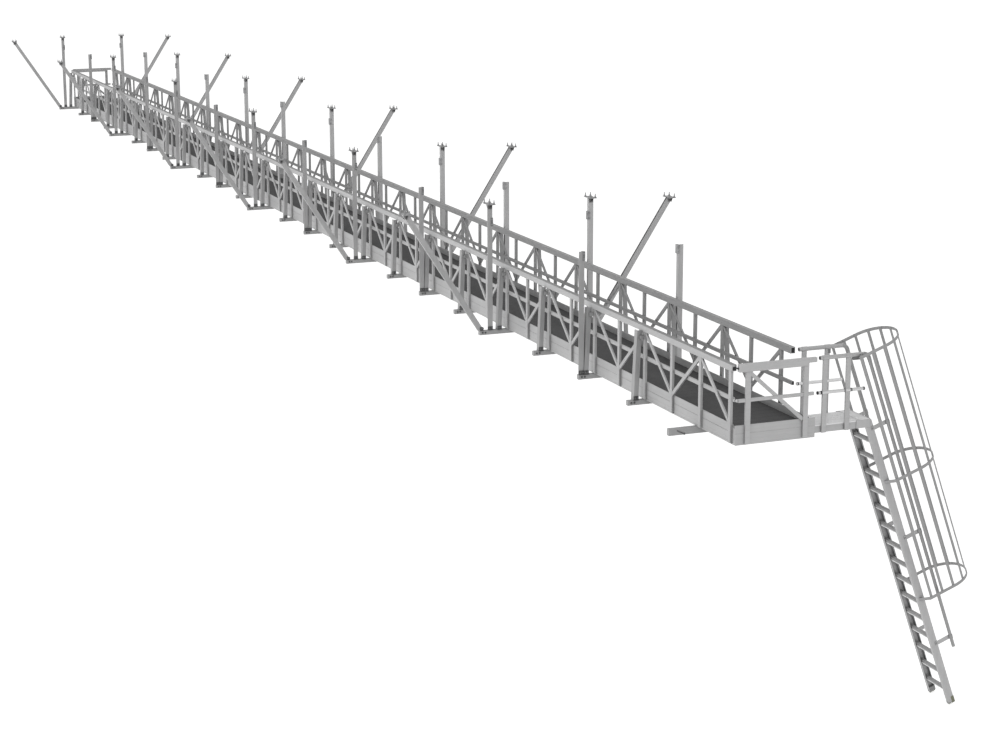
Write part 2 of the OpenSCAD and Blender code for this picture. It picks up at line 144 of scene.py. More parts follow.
class Graph(Tree):
    """A material's node tree, with short calls for the nodes that the finishes share."""

    def __init__(self, name: str) -> None:
        """Starts an empty material with one principled shader.

        Args:
            name: The material's name.
        """
        self.material = bpy.data.materials.new(name)
        self.material.use_nodes = True
        super().__init__(self.material.node_tree)
        self.shader = self.tree.nodes["Principled BSDF"]

    def place(self, stretch: Sequence[float] = (1, 1, 1)) -> Socket:
        """Gives the object's coordinates, stretched along its axes.

        Args:
            stretch: Scale of each coordinate.

        Returns:
            The stretched vector.
        """
        source = self.add("TexCoord").outputs["Object"]
        return self.add("Mapping", {"Vector": source, "Scale": tuple(stretch)}).outputs["Vector"]

    def noise(self, vector: Socket, scale: float, detail: float = 3.0,
              roughness: float = 0.5) -> Socket:
        """Gives a noise value between 0 and 1.

        Args:
            vector: Where the noise is read.
            scale: The noise's scale.
            detail: Its number of finer layers.
            roughness: How strong the finer layers are.

        Returns:
            The value.
        """
        node = self.add("TexNoise", {"Vector": vector, "Scale": scale, "Detail": detail,
                                     "Roughness": roughness})
        return node.outputs["Fac"]

    def spread(self, value: Socket, low: float, high: float,
               start: float = 0.3, end: float = 0.7) -> Socket:
        """Maps a value from start..end to low..high, clamped.

        Args:
            value: The value to map.
            low: Result at start.
            high: Result at end.
            start: First value.
            end: Last value.

        Returns:
            The mapped value.
        """
        node = self.add("MapRange", {"Value": value, "From Min": start, "From Max": end,
                                     "To Min": low, "To Max": high})
        return node.outputs["Result"]

    def tint(self, colour: Sequence[float], level: Socket) -> Socket:
        """Gives a colour multiplied by a level.

        Args:
            colour: The colour at level 1.
            level: The level.

        Returns:
            The colour output.
        """
        node = self.add("VectorMath", {0: tuple(colour), 3: level}, operation="SCALE")
        return node.outputs["Vector"]

    def bump(self, height: Socket, distance: float, strength: float = 1.0,
             under: Optional[Socket] = None) -> Socket:
        """Gives a normal bent by a height.

        Args:
            height: The height, 0 to 1.
            distance: The height of 1, in metres.
            strength: The bump's strength.
            under: A normal already bent, which this bump adds to.

        Returns:
            The bent normal.
        """
        node = self.add("Bump", {"Height": height, "Distance": distance, "Strength": strength})
        if under is not None:
            self.feed(node.inputs["Normal"], under)
        return node.outputs["Normal"]

    def painted_corner_shade(self, level: Socket, reach: float, least: float) -> Socket:
        """Darkens a level in inner corners by how occluded they are: painted shade.

        Args:
            level: The level in the open.
            reach: How far from a corner the painted shade reaches, in metres.
            least: What is left of the level deep in a corner.

        Returns:
            The darkened level.
        """
        # An ambient-occlusion mask darkens the level: shade painted into inner corners.
        corner = self.add("AmbientOcclusion", {"Distance": reach}, samples=8).outputs["AO"]
        return self.math("MULTIPLY", level, self.spread(corner, least, 1.0, start=0.35, end=0.85))

    def finish(self, colour: Socket, roughness: object,
               normal: Optional[Socket] = None, metallic: float = 0.0,
               specular: float = 0.5) -> bpy.types.Material:
        """Feeds the principled shader and returns the material.

        Args:
            colour: The base colour.
            roughness: The roughness, as a socket or a number.
            normal: The bent normal.
            metallic: How metallic the surface is.
            specular: The specular level.

        Returns:
            The finished material.
        """
        self.feed(self.shader.inputs["Base Color"], colour)
        self.feed(self.shader.inputs["Roughness"], roughness)
        self.shader.inputs["Metallic"].default_value = metallic
        self.shader.inputs["Specular IOR Level"].default_value = specular
        if normal is not None:
            self.feed(self.shader.inputs["Normal"], normal)
        return self.material


@dataclass(frozen=True)
class Aluminium:
    """Mill-finished extruded aluminium: die lines along the profile, dull clouds and specks.

    Painted shade darkens it in inner corners, down to corner_level, as far as corner_reach from
    them.
    """

    name: str
    grey: float
    grain: Axis = Axis.X
    roughness: float = 0.5
    metallic: float = 0.25
    cloud: float = 0.05
    streak: float = 0.05
    line_depth: float = 0.00006
    corner_reach: float = 0.05
    corner_level: float = 0.45

    def material(self) -> bpy.types.Material:
        """Builds the material.

        Returns:
            The material.
        """
        g = Graph(self.name)
        along = [1.0, 1.0, 1.0]
        along[self.grain.value] = 0.02
        lines = g.noise(g.place(along), scale=420.0, detail=2.0, roughness=0.6)
        broad = g.noise(g.place(along), scale=60.0, detail=2.0, roughness=0.5)
        clouds = g.noise(g.place(), scale=3.5, detail=4.0, roughness=0.6)
        specks = g.noise(g.place(), scale=900.0, detail=1.0, roughness=0.5)
        level = g.math("ADD", g.spread(clouds, 1 - self.cloud, 1 + self.cloud),
                       g.spread(broad, -self.streak, self.streak))
        level = g.math("ADD", level, g.spread(lines, -0.03, 0.03))
        level = g.math("SUBTRACT", level, g.spread(specks, 0.0, 0.06, start=0.62, end=0.75))
        # Painted shade in inner corners.
        level = g.painted_corner_shade(level, self.corner_reach, self.corner_level)
        colour = g.tint((self.grey, self.grey, self.grey * 1.004), level)
        rough = g.spread(broad, self.roughness - 0.07, self.roughness + 0.09)
        normal = g.bump(lines, self.line_depth, strength=0.6)
        return g.finish(colour, rough, normal, self.metallic, specular=0.45)


@dataclass(frozen=True)
class Steel:
    """Dark zinc-plated steel with a fine spangle and rubbed patches, and painted shade in its
    corners.
    """

    name: str
    grey: float
    roughness: float = 0.45
    metallic: float = 0.5
    corner_level: float = 0.5

    def material(self) -> bpy.types.Material:
        """Builds the material.

        Returns:
            The material.
        """
        g = Graph(self.name)
        spangle = g.add("TexVoronoi", {"Vector": g.place(), "Scale": 130.0}).outputs["Color"]
        patch = g.noise(g.place(), scale=22.0, detail=3.0)
        fine = g.noise(g.place(), scale=700.0, detail=2.0)
        cells = g.add("SeparateColor", {"Color": spangle}).outputs[0]
        level = g.math("ADD", g.spread(cells, 0.9, 1.1, start=0.0, end=1.0),
                       g.spread(patch, -0.12, 0.18))
        # Painted shade: corners darkened by an occlusion mask, for contact shadows.
        level = g.painted_corner_shade(level, reach=0.05, least=self.corner_level)
        colour = g.tint((self.grey, self.grey * 1.005, self.grey * 1.02), level)
        rough = g.spread(patch, self.roughness + 0.1, self.roughness - 0.1)
        normal = g.bump(fine, distance=0.00008, strength=0.5)
        return g.finish(colour, rough, normal, self.metallic)


@dataclass(frozen=True)
class GripDeck:
    """Dark anti-slip boarding: fine grit in low ridges, worn paler where people walk."""

    name: str
    grey: float
    ridge_pitch: float = 0.011

    def material(self) -> bpy.types.Material:
        """Builds the material.

        Returns:
            The material.
        """
        g = Graph(self.name)
        grit = g.add("TexVoronoi", {"Vector": g.place(), "Scale": 420.0}).outputs["Distance"]
        patch = g.noise(g.place((0.35, 1.0, 1.0)), scale=2.2, detail=4.0, roughness=0.6)
        fine = g.noise(g.place(), scale=160.0, detail=3.0, roughness=0.6)
        ridges = g.add("TexWave", {"Vector": g.place(), "Scale": 0.16 / self.ridge_pitch,
                                   "Distortion": 0.0}, bands_direction="X").outputs["Fac"]
        level = g.math("ADD", g.spread(patch, 0.92, 1.10), g.spread(fine, -0.10, 0.10))
        level = g.math("SUBTRACT", level, g.spread(grit, 0.0, 0.16, start=0.35, end=0.9))
        # Painted shade: the deck darkened by an occlusion mask near the fascias and other parts.
        level = g.painted_corner_shade(level, reach=0.16, least=0.45)
        colour = g.tint((self.grey, self.grey, self.grey * 1.01), level)
        normal = g.bump(grit, distance=0.0005, strength=0.7,
                        under=g.bump(ridges, distance=0.0012, strength=0.5))
        return g.finish(colour, g.spread(patch, 0.85, 0.72), normal, specular=0.25)


@dataclass(frozen=True)
class Moulded:
    """Moulded plastic or rubber with a fine eggshell grain and dusty patches."""

    name: str
    colour: tuple[float, float, float]
    roughness: float = 0.6
    dust: float = 0.1

    def material(self) -> bpy.types.Material:
        """Builds the material.

        Returns:
            The material.
        """
        g = Graph(self.name)
        grain = g.noise(g.place(), scale=520.0, detail=2.0)
        patch = g.noise(g.place(), scale=18.0, detail=3.0)
        level = g.math("ADD", g.spread(patch, 1.0, 1.0 + 2 * self.dust),
                       g.spread(grain, -0.05, 0.05))
        rough = g.spread(patch, self.roughness - 0.06, self.roughness + 0.12)
        normal = g.bump(grain, distance=0.0002, strength=0.5)
        return g.finish(g.tint(self.colour, level), rough, normal)


# Most finishes are named as the material slot that they dress.
FINISHES = {finish.name: finish for finish in (
    GripDeck("deck_grip", 0.078),
    Aluminium("fascia_aluminium", 0.45, corner_reach=0.10, corner_level=0.62),
    Aluminium("end_fascia_aluminium", 0.47, Axis.Y, corner_reach=0.10, corner_level=0.62),
    # Painted shade: a darker copy of the fascia finish for the far fascia.
    Aluminium("fascia_aluminium_far", 0.36, corner_reach=0.10, corner_level=0.62),
    # Painted shade: a dark copy for the near handrail's top face.
    Aluminium("rail_top_painted_shade", 0.25, roughness=0.6),
    Aluminium("truss_aluminium", 0.45, corner_level=0.3),
    # Painted shade: a darker copy of the truss finish for the far truss.
    Aluminium("truss_aluminium_far", 0.315, corner_level=0.3),
    Aluminium("railing_aluminium", 0.49, Axis.Y),
    Aluminium("beam_aluminium", 0.36, Axis.Y),
    Aluminium("strut_aluminium", 0.355, Axis.Z),
    Aluminium("hanger_aluminium", 0.48, Axis.Z),
    # Painted shade: a darker copy of the hanger finish for the near columns and braces.
    Aluminium("hanger_aluminium_shaded", 0.40, Axis.Z),
    Aluminium("brace_aluminium", 0.44, Axis.Z, corner_level=0.5),
    Steel("plate_steel", 0.34, corner_level=0.68),
    Steel("head_steel", 0.30),
    Aluminium("landing_aluminium", 0.48, Axis.Y),
    Aluminium("ladder_aluminium", 0.51, Axis.Z, corner_level=0.4),
    # Painted shade: the rungs' bars darker than the ladder's aluminium.
    Aluminium("rung_aluminium", 0.29, corner_level=0.75),
    Aluminium("cage_aluminium", 0.375, Axis.Z),
    Steel("bracket_steel", 0.13),
    Aluminium("weld_aluminium", 0.36, roughness=0.6),
    # Painted light: the rungs' treads paler, and a bright lip along each rung as a painted
    # highlight.
    Aluminium("rung_tread", 0.45, corner_level=0.9),
    Aluminium("rung_lip", 0.78, corner_level=1.0, cloud=0.02),
    Aluminium("landing_floor", 0.84, Axis.Y, corner_level=0.85),
    Aluminium("bright_tube", 0.70, Axis.Y, roughness=0.35),
    # Darker steel; on the near columns' inner plates it is painted shade.
    Steel("dark_plate", 0.2, corner_level=0.75),
    Aluminium("pale_tube", 0.97, Axis.Y, metallic=0.0, cloud=0.02, streak=0.01, corner_level=0.9),
    Moulded("clamp_plastic", (0.02, 0.02, 0.022), 0.5),
    Moulded("black_plug", (0.012, 0.012, 0.013), 0.5),
    Moulded("foot_rubber", (0.21, 0.215, 0.155), 0.75),
)}

# The nodes that have another finish than their slot's; the near columns and braces take a darker
# copy, which is painted shade.
NODE_FINISHES = {
    "columns_short_near": "hanger_aluminium_shaded",
    "columns_tall_near": "hanger_aluminium_shaded",
    "braces_near": "hanger_aluminium_shaded",
    "braces_far": "brace_aluminium",
}


class Wardrobe:
    """Builds each finish once and dresses nodes and pieces in it."""

    def __init__(self) -> None:
        """Starts with nothing built."""
        self.built: dict[str, bpy.types.Material] = {}

    def material(self, name: str) -> bpy.types.Material:
        """Gives the named finish's material, built on first use.

        Args:
            name: The finish's name.

        Returns:
            The material.
        """
        if name not in self.built:
            self.built[name] = FINISHES[name].material()
        return self.built[name]

    def dress_nodes(self) -> None:
        """Puts each CAD node's finish into its material slots."""
        slots = {part["node"]: part["material_slot"] for part in frame["record"]["subparts"]}
        for name, obj in frame["nodes"].items():
            finish = NODE_FINISHES.get(name, slots[name])
            if not obj.material_slots:
                obj.data.materials.append(None)
            for slot in obj.material_slots:
                slot.material = self.material(finish)
            LOG.info("node %s: %s", name, finish)


# ---- Layout and bench ----


@dataclass(frozen=True)
class Layout:
    """Where the walkway lies: its first station, centre line and underside, and its bay."""

    origin: Vector
    bay: float
    bays: int = 24

    @classmethod
    def measured(cls, half_beam: float = 0.018, first: int = 4, last: int = 24) -> "Layout":
        """Measures the layout on the long cross beams and the two side fascias.

        Args:
            half_beam: Half a cross beam's width.
            first: The station of the first long beam.
            last: The station of the last long beam.

        Returns:
            The layout, in metres.
        """
        low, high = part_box("cross_beams_long")
        bay = (high.x - low.x - 2 * half_beam) / (last - first)
        near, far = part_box("fascia_near"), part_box("fascia_far")
        middle = (near[0].y + far[1].y) / 2
        return cls(Vector((high.x - half_beam + first * bay, middle, near[0].z)), bay)

    def spot(self, x: float, y: float, z: float) -> Vector:
        """Gives a place counted from station 0, the centre line and the fascia's underside."""
        return self.origin + Vector((x, y, z))

    def stations(self, first: int, step: int) -> list[float]:
        """Gives the distances of every step-th station from the first one on."""
        return [-k * self.bay for k in range(first, self.bays + 1, step)]


def facing(x: float, y: float, z: float) -> Test:
    """Gives the test that finds the faces which look in a direction."""
    return lambda centre, normal: normal.dot(Vector((x, y, z))) > 0.9


def placed(at: Sequence[float], towards: Sequence[float] = (0, 0, 1)) -> Matrix:
    """Gives the matrix that stands a piece at a place with its +Z towards a direction."""
    turn = Vector(towards).to_track_quat("Z", "Y").to_matrix().to_4x4()
    return Matrix.Translation(Vector(at)) @ turn


class Bench:
    """The bench on which pieces are started as primitives and shaped."""

    @staticmethod
    def only(*pieces: Piece) -> None:
        """Selects these pieces and nothing else, the first one active.

        Args:
            *pieces: The pieces to select.
        """
        bpy.ops.object.select_all(action="DESELECT")
        for piece in pieces:
            piece.select_set(True)
        if pieces:
            bpy.context.view_layer.objects.active = pieces[0]

    @staticmethod
    def settle(piece: Piece, edge: float = 0.0, steps: int = 1,
               smooth: bool = False) -> Piece:
        """Puts a new piece's place into its mesh, rounds its edges and smooths its curves.

        Args:
            piece: The piece, just added.
            edge: The rounding's width, or 0 for none.
            steps: The rounding's number of steps.
            smooth: Whether curved faces are shaded smooth.

        Returns:
            The same piece.
        """
        Bench.only(piece)
        bpy.ops.object.transform_apply(location=True, rotation=True, scale=True)
        if edge:
            rounding = piece.modifiers.new("rounding", "BEVEL")
            rounding.width, rounding.segments = edge, steps
            rounding.limit_method, rounding.angle_limit = "ANGLE", ROUNDING_ANGLE
            bpy.ops.object.modifier_apply(modifier=rounding.name)
        if smooth:
            bpy.ops.object.shade_smooth_by_angle(angle=SMOOTH_ANGLE)
        return piece

    @staticmethod
    def block(corner: Sequence[float], other: Sequence[float], edge: float = 0.0,
              steps: int = 1) -> Piece:
        """Makes a box between two opposite corners, its edges rounded.

        Args:
            corner: One corner.
            other: The opposite corner.
            edge: The rounding's width.
            steps: The rounding's number of steps.

        Returns:
            The new piece.
        """
        Bench.only()
        low = Vector([min(pair) for pair in zip(corner, other)])
        high = Vector([max(pair) for pair in zip(corner, other)])
        bpy.ops.mesh.primitive_cube_add(size=1.0, location=(low + high) / 2, scale=high - low)
        return Bench.settle(bpy.context.object, edge, steps)

    @staticmethod
    def rod(start: Sequence[float], end: Sequence[float], radius: float, sides: int = 24,
            tip: Optional[float] = None, edge: float = 0.0) -> Piece:
        """Makes a round or many-sided rod between two points.

        Args:
            start: The first end.
            end: The other end.
            radius: Its radius.
            sides: Its number of sides.
            tip: The radius at the other end, if that differs.
            edge: The rounding of its rims.

        Returns:
            The new piece.
        """
        Bench.only()
        start, end = Vector(start), Vector(end)
        run = end - start
        bpy.ops.mesh.primitive_cone_add(
            vertices=sides, radius1=radius, radius2=radius if tip is None else tip,
            depth=run.length, location=(start + end) / 2,
            rotation=run.to_track_quat("Z", "Y").to_euler())
        return Bench.settle(bpy.context.object, edge, 1, sides > 8)

    @staticmethod
    def pick(piece: Piece, test: Test) -> None:
        """Opens a piece in edit mode with the faces selected that pass a test.

        Args:
            piece: The piece.
            test: Takes a face's centre and normal.
        """
        Bench.only(piece)
        bpy.ops.object.mode_set(mode="EDIT")
        bpy.ops.mesh.select_mode(type="FACE")
        bpy.ops.mesh.select_all(action="DESELECT")
        bpy.ops.object.mode_set(mode="OBJECT")
        for face in piece.data.polygons:
            face.select = test(face.center, face.normal)
        bpy.ops.object.mode_set(mode="EDIT")

    @staticmethod
    def hollow(piece: Piece, test: Test, wall: float, depth: float) -> Piece:
        """Sinks the faces that pass a test, and leaves a wall round each.

        Args:
            piece: The piece.
            test: Takes a face's centre and normal.
            wall: The wall's thickness.
            depth: How deep the faces sink.

        Returns:
            The same piece.
        """
        Bench.pick(piece, test)
        bpy.ops.mesh.inset(thickness=wall, use_individual=True)
        bpy.ops.mesh.extrude_region_shrink_fatten(
            TRANSFORM_OT_shrink_fatten={"value": -depth, "use_even_offset": False})
        bpy.ops.object.mode_set(mode="OBJECT")
        return piece

    @staticmethod
    def taper(piece: Piece, test: Test, scale: Sequence[float],
              about: Sequence[float]) -> Piece:
        """Scales the faces that pass a test about a point.

        Args:
            piece: The piece.
            test: Takes a face's centre and normal.
            scale: The scale along each axis.
            about: The point that stays.

        Returns:
            The same piece.
        """
        Bench.pick(piece, test)
        bpy.ops.transform.resize(value=tuple(scale), center_override=tuple(about))
        bpy.ops.object.mode_set(mode="OBJECT")
        return piece

    @staticmethod
    def copies(master: Piece, places: Iterable[Matrix]) -> list[Piece]:
        """Copies a master to each place, each copy with its own mesh, and removes the master.

        Args:
            master: The piece to copy.
            places: A matrix for each copy.

        Returns:
            The copies.
        """
        made = []
        for place in places:
            mesh = master.data.copy()
            mesh.transform(place)
            if place.determinant() < 0:
                mesh.flip_normals()
            twin = bpy.data.objects.new(master.name, mesh)
            bpy.context.collection.objects.link(twin)
            made.append(twin)
        bpy.data.objects.remove(master)
        return made

    @staticmethod
    def join(parts: Sequence[Piece]) -> Piece:
        """Joins pieces into one.

        Args:
            parts: The pieces to join.

        Returns:
            The first piece, which now holds them all.
        """
        Bench.only(*parts)
        if len(parts) > 1:
            bpy.ops.object.join()
        return parts[0]

    @staticmethod
    def row(master: Piece, places: Iterable[Matrix]) -> Piece:
        """Copies a master to each place and joins the copies into one piece."""
        return Bench.join(Bench.copies(master, places))


@dataclass(frozen=True)
class Bolt:
    """A hexagon bolt head on its washer, seated at the origin and facing +Z."""

    head_radius: float
    head_height: float
    washer_radius: float
    washer_height: float = 0.002
    crown_inset: float = 0.18
    crown_rise: float = 0.15

    def master(self) -> Piece:
        """Models one bolt head.

        Returns:
            The head with its washer.
        """
        washer = Bench.rod((0, 0, 0), (0, 0, self.washer_height), self.washer_radius, sides=12)
        top = self.washer_height + self.head_height
        head = Bench.rod((0, 0, self.washer_height / 2), (0, 0, top), self.head_radius, sides=6)
        Bench.pick(head, facing(0, 0, 1))
        bpy.ops.mesh.inset(thickness=self.head_radius * self.crown_inset,
                           depth=self.head_height * self.crown_rise)
        bpy.ops.object.mode_set(mode="OBJECT")
        return Bench.join([washer, head])


@dataclass(frozen=True)
class Rivet:
    """A domed rivet head, seated at the origin and facing +Z."""

    radius: float = 0.005625
    tip: float = 0.002625
    height: float = 0.00275

    def master(self) -> Piece:
        """Models one rivet head and returns it."""
        return Bench.rod((0, 0, 0), (0, 0, self.height), self.radius, sides=10, tip=self.tip)


@dataclass
class Assembly:
    """A sub-assembly that builds its pieces on the bench and dresses them."""

    layout: Layout
    wardrobe: Wardrobe

    def own(self, piece: Piece, name: str, slot: str, finish: Optional[str] = None,
            replaces: Sequence[str] = ()) -> None:
        """Names, dresses and registers a finished piece.

        Args:
            piece: The finished piece.
            name: Its name.
            slot: The record's material slot that its finish comes from.
            finish: The finish, if it isn't named as the slot.
            replaces: The CAD nodes that it stands for.
        """
        piece.name = piece.data.name = name
        piece.data.materials.clear()
        piece.data.materials.append(self.wardrobe.material(finish or slot))
        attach(piece, BODY)
        if replaces:
            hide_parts(*replaces)
        LOG.info("piece %s: %d faces", name, len(piece.data.polygons))

    def at_sides(self, xs: Iterable[float], y: float) -> list[Matrix]:
        """Gives a place at each distance on both sides, mirrored for the far side.

        Args:
            xs: The distances along the walkway.
            y: The distance from the centre line.

        Returns:
            A matrix for each place.
        """
        near = [Matrix.Translation(self.layout.spot(x, -y, 0)) for x in xs]
        far = [Matrix.Translation(self.layout.spot(x, y, 0)) @ Matrix.Scale(-1, 4, (0, 1, 0))
               for x in xs]
        return near + far


# ---- Hangers ----


@dataclass
class HangerHeads(Assembly):
    """The bolted heads on the tall columns and on the slanting hangers."""

    tall_y: float = 0.488
    brace_y: float = 1.275
    plate: tuple[float, float, float] = (0.138, 0.070, 0.006)
    plate_edge: float = 0.0015
    stud_dx: float = 0.104
    stud_dy: float = 0.050
    stud_foot: float = 0.0095
    stud_tip: float = 0.0050
    stud_root: float = 0.0043
    stud_height: float = 0.034
    washer_top: float = 0.0025
    washer_radius: float = 0.011875
    cone_foot: float = 0.002
    cone_height: float = 0.016
    cone_tip: float = 0.0055
    root_foot: float = 0.012
    thread_pitch: float = 0.0045
    thread_height: float = 0.00315
    grip: float = 0.032
    wing_reach: float = 0.050
    wing_height: float = 0.042
    wing_taper: float = 0.12
    cheek: float = 0.0045
    cheek_gap: float = 0.0075

    def build(self) -> None:
        """Builds the four rows of heads."""
        for kind, y in (("tall", self.tall_y), ("brace", self.brace_y)):
            for side in Side:
                node = "heads_%s_%s" % (kind, side.name.lower())
                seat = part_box(node)[1].z - self.stud_height - self.layout.origin.z
                spots = [Matrix.Translation(self.layout.spot(x, side.value * y, seat))
                         for x in self.layout.stations(4, 4)]
                self.own(Bench.row(self.plate_and_studs(), spots), "studs_" + node, "head_steel",
                         replaces=(node,))
                self.own(Bench.row(self.grip_cheeks(), spots), "grips_" + node, "head_steel",
                         "bracket_steel")

    def plate_and_studs(self) -> Piece:
        """Models one plate with its studs, the plate's top at the origin.

        Returns:
            The plate with its studs.
        """
        length, width, thick = self.plate
        parts = [Bench.block((-length / 2, -width / 2, -thick), (length / 2, width / 2, 0),
                             edge=self.plate_edge)]
        for along in (-1, 1):
            for across in (-1, 1):
                parts += self.stud(along * self.stud_dx / 2, across * self.stud_dy / 2)
        return Bench.join(parts)

    def grip_cheeks(self) -> Piece:
        """Models the four dark cheeks under one plate, and returns them."""
        return Bench.join([self.wing(along, across) for along in (-1, 1) for across in (-1, 1)])

    def wing(self, along: int, across: int) -> Piece:
        """Models one tapering cheek of the grip under the plate.

        Args:
            along: The end of the plate, -1 or 1.
            across: The edge of the plate, -1 or 1.

        Returns:
            The cheek.
        """
        thick, inner = self.plate[2], along * self.grip / 2
        cheek = Bench.block((inner, across * self.cheek_gap, -thick - self.wing_height),
                            (along * self.wing_reach, across * (self.cheek_gap + self.cheek),
                             -thick / 2))
        return Bench.taper(cheek, facing(0, 0, -1), (self.wing_taper, 1, 1), (inner, 0, 0))

    def stud(self, x: float, y: float) -> list[Piece]:
        """Models one tapering stud with its washer and its thread.

        Args:
            x: Its place along the plate.
            y: Its place across the plate.

        Returns:
            The stud's parts.
        """
        foot, tip, root = self.stud_foot, self.stud_tip, self.stud_root
        cone, pitch, top = self.cone_height, self.thread_pitch, self.stud_height
        parts = [Bench.rod((x, y, 0), (x, y, self.washer_top), self.washer_radius, sides=12),
                 Bench.rod((x, y, self.cone_foot), (x, y, cone), foot, sides=12, tip=self.cone_tip),
                 Bench.rod((x, y, self.root_foot), (x, y, top), root, sides=8)]
        for turn in range(int((top - cone) / pitch)):
            z = cone + turn * pitch
            parts.append(Bench.rod((x, y, z), (x, y, z + self.thread_height), tip, sides=8,
                                   tip=root))
        return parts


@dataclass
class Footings(Assembly):
    """The bolted brackets at the feet of struts, columns and braces, and the beams' bolts."""

    beam_half_width: float = 0.018
    short_half: float = 0.468
    long_half: float = 0.591
    strut_y: float = 0.403
    short_y: float = 0.4445
    tall_y: float = 0.488
    brace_y: float = 0.570
    strut_size: tuple[float, float] = (0.044, 0.050)
    column_size: tuple[float, float] = (0.047, 0.032)
    brace_size: tuple[float, float] = (0.028, 0.032)
    plate: float = 0.005
    plate_edge: float = 0.001
    base_half: float = 0.012
    cheek_height: float = 0.034
    bolt_share: float = 0.45
    bolt_rise: float = 0.6
    bolt: Bolt = Bolt(0.0085, 0.006, 0.0115)
    beam_bolt: Bolt = Bolt(0.0068, 0.005, 0.0085)
    pin_bolt: Bolt = Bolt(0.0065, 0.004, 0.0085)
    bolt_z: float = -0.020
    bolt_insets: tuple[float, float] = (0.030, 0.056)
    pin_x: float = -0.020
    pin_from: tuple[float, float] = (-0.492, -0.017)
    pin_to: tuple[float, float] = (-0.432, -0.046)
    pin_radius: float = 0.0036
    pin_bolt_back: float = 0.003

    def build(self) -> None:
        """Builds the brackets and all their bolts."""
        short, tall = self.layout.stations(2, 4), self.layout.stations(4, 4)
        struts = self.at_sides(self.layout.stations(1, 1), self.strut_y)
        columns = self.at_sides(short, self.short_y) + self.at_sides(tall, self.tall_y)
        braces = self.at_sides(tall, self.brace_y)
        for name, places, size in (("strut_feet", struts, self.strut_size),
                                   ("column_feet", columns, self.column_size),
                                   ("brace_feet", braces, self.brace_size)):
            self.own(Bench.row(self.bracket(*size), places), name, "head_steel", "bracket_steel")
        self.build_beam_bolts()
        self.build_pins()

    def bracket(self, width: float, depth: float) -> Piece:
        """Models one bracket round a foot that stands at the origin.

        Args:
            width: The foot's width across the walkway.
            depth: The foot's depth along it.

        Returns:
            The bracket with its bolts.
        """
        front, half, face = depth / 2, width / 2, depth / 2 + self.plate
        base = Bench.block((front - self.base_half, -half, 0),
                           (front + self.base_half, half, self.plate), edge=self.plate_edge)
        cheek = Bench.block((front, -half, self.plate / 2), (face, half, self.cheek_height),
                            edge=self.plate_edge)
        bolts = Bench.copies(self.bolt.master(), [
            placed((face, side * half * self.bolt_share, self.cheek_height * self.bolt_rise),
                   (1, 0, 0)) for side in (-1, 1)])
        return Bench.join([base, cheek, *bolts])

    def build_beam_bolts(self) -> None:
        """Sets two bolt heads near both ends of every cross beam, on both of its faces."""
        stations = self.layout.stations
        spots = [(x, half - inset)
                 for xs, half in ((stations(1, 2) + stations(2, 4), self.short_half),
                                  (stations(4, 4), self.long_half))
                 for x in xs for inset in self.bolt_insets]
        places = [placed(self.layout.spot(x + face * self.beam_half_width, side * y, self.bolt_z),
                         (face, 0, 0))
                  for x, y in spots for side in (-1, 1) for face in (-1, 1)]
        self.own(Bench.row(self.beam_bolt.master(), places), "beam_bolts", "head_steel",
                 "bracket_steel")

    def build_pins(self) -> None:
        """Lays a slanting locking pin on the stub beam's face, at both of its ends."""
        parts = []
        for side in (1, -1):
            start = self.layout.spot(self.pin_x, side * self.pin_from[0], self.pin_from[1])
            end = self.layout.spot(self.pin_x, side * self.pin_to[0], self.pin_to[1])
            parts.append(Bench.rod(start, end, self.pin_radius, sides=12, edge=0.0008))
            parts += Bench.copies(self.pin_bolt.master(),
                                  [placed(end - Vector((self.pin_bolt_back, 0, 0)), (1, 0, 0))])
        self.own(Bench.join(parts), "stub_pins", "head_steel", "bracket_steel")


@dataclass
class PlateBolts(Assembly):
    """The near columns' inner plates, and the bolt heads on every column plate."""

    short_place: tuple[float, float] = (0.4445, 0.9825)
    tall_place: tuple[float, float] = (0.488, 0.974)
    column_half: float = 0.0235
    spread_z: float = 0.022
    face_x: float = 0.019
    far_inset: float = 0.008
    near_inset: float = 0.0055
    bolt: Bolt = Bolt(0.0065, 0.004, 0.009, 0.0015)
    leaf: float = 0.003
    heel: float = 0.002
    wrap: float = 0.016
    proud: float = 0.0065
    plate_half: float = 0.0375
    plate_edge: float = 0.0008

    def build(self) -> None:
        """Sets the near columns' plates, and two bolts beside or on each column's plate."""
        spot, stations = self.layout.spot, self.layout.stations
        places, plates = [], []
        for xs, (y, z) in ((stations(2, 4), self.short_place), (stations(4, 4), self.tall_place)):
            for x in xs:
                for rise in (z - self.spread_z, z + self.spread_z):
                    for side, inset in ((1, self.far_inset), (-1, self.near_inset)):
                        at = spot(x + self.face_x, side * (y - self.column_half + inset), rise)
                        places.append(placed(at, (1, 0, 0)))
                plates.append(Matrix.Translation(spot(x, self.column_half - y, z)))
        self.own(Bench.row(self.bolt.master(), places), "plate_bolts", "plate_steel")
        back, half = self.face_x - self.leaf, self.plate_half
        flange = Bench.block((back - OVERLAP, -self.wrap, -half), (self.face_x, self.proud, half),
                             edge=self.plate_edge)
        web = Bench.block((self.heel - back, -OVERLAP, -half),
                          (back + 2 * OVERLAP, self.proud - OVERLAP, half), edge=self.plate_edge)
        # The near inner plates wear darker steel: painted shade inside the columns' angles.
        self.own(Bench.row(Bench.join([flange, web]), plates), "inner_plates", "plate_steel",
                 "dark_plate")


# ---- Walkway ----


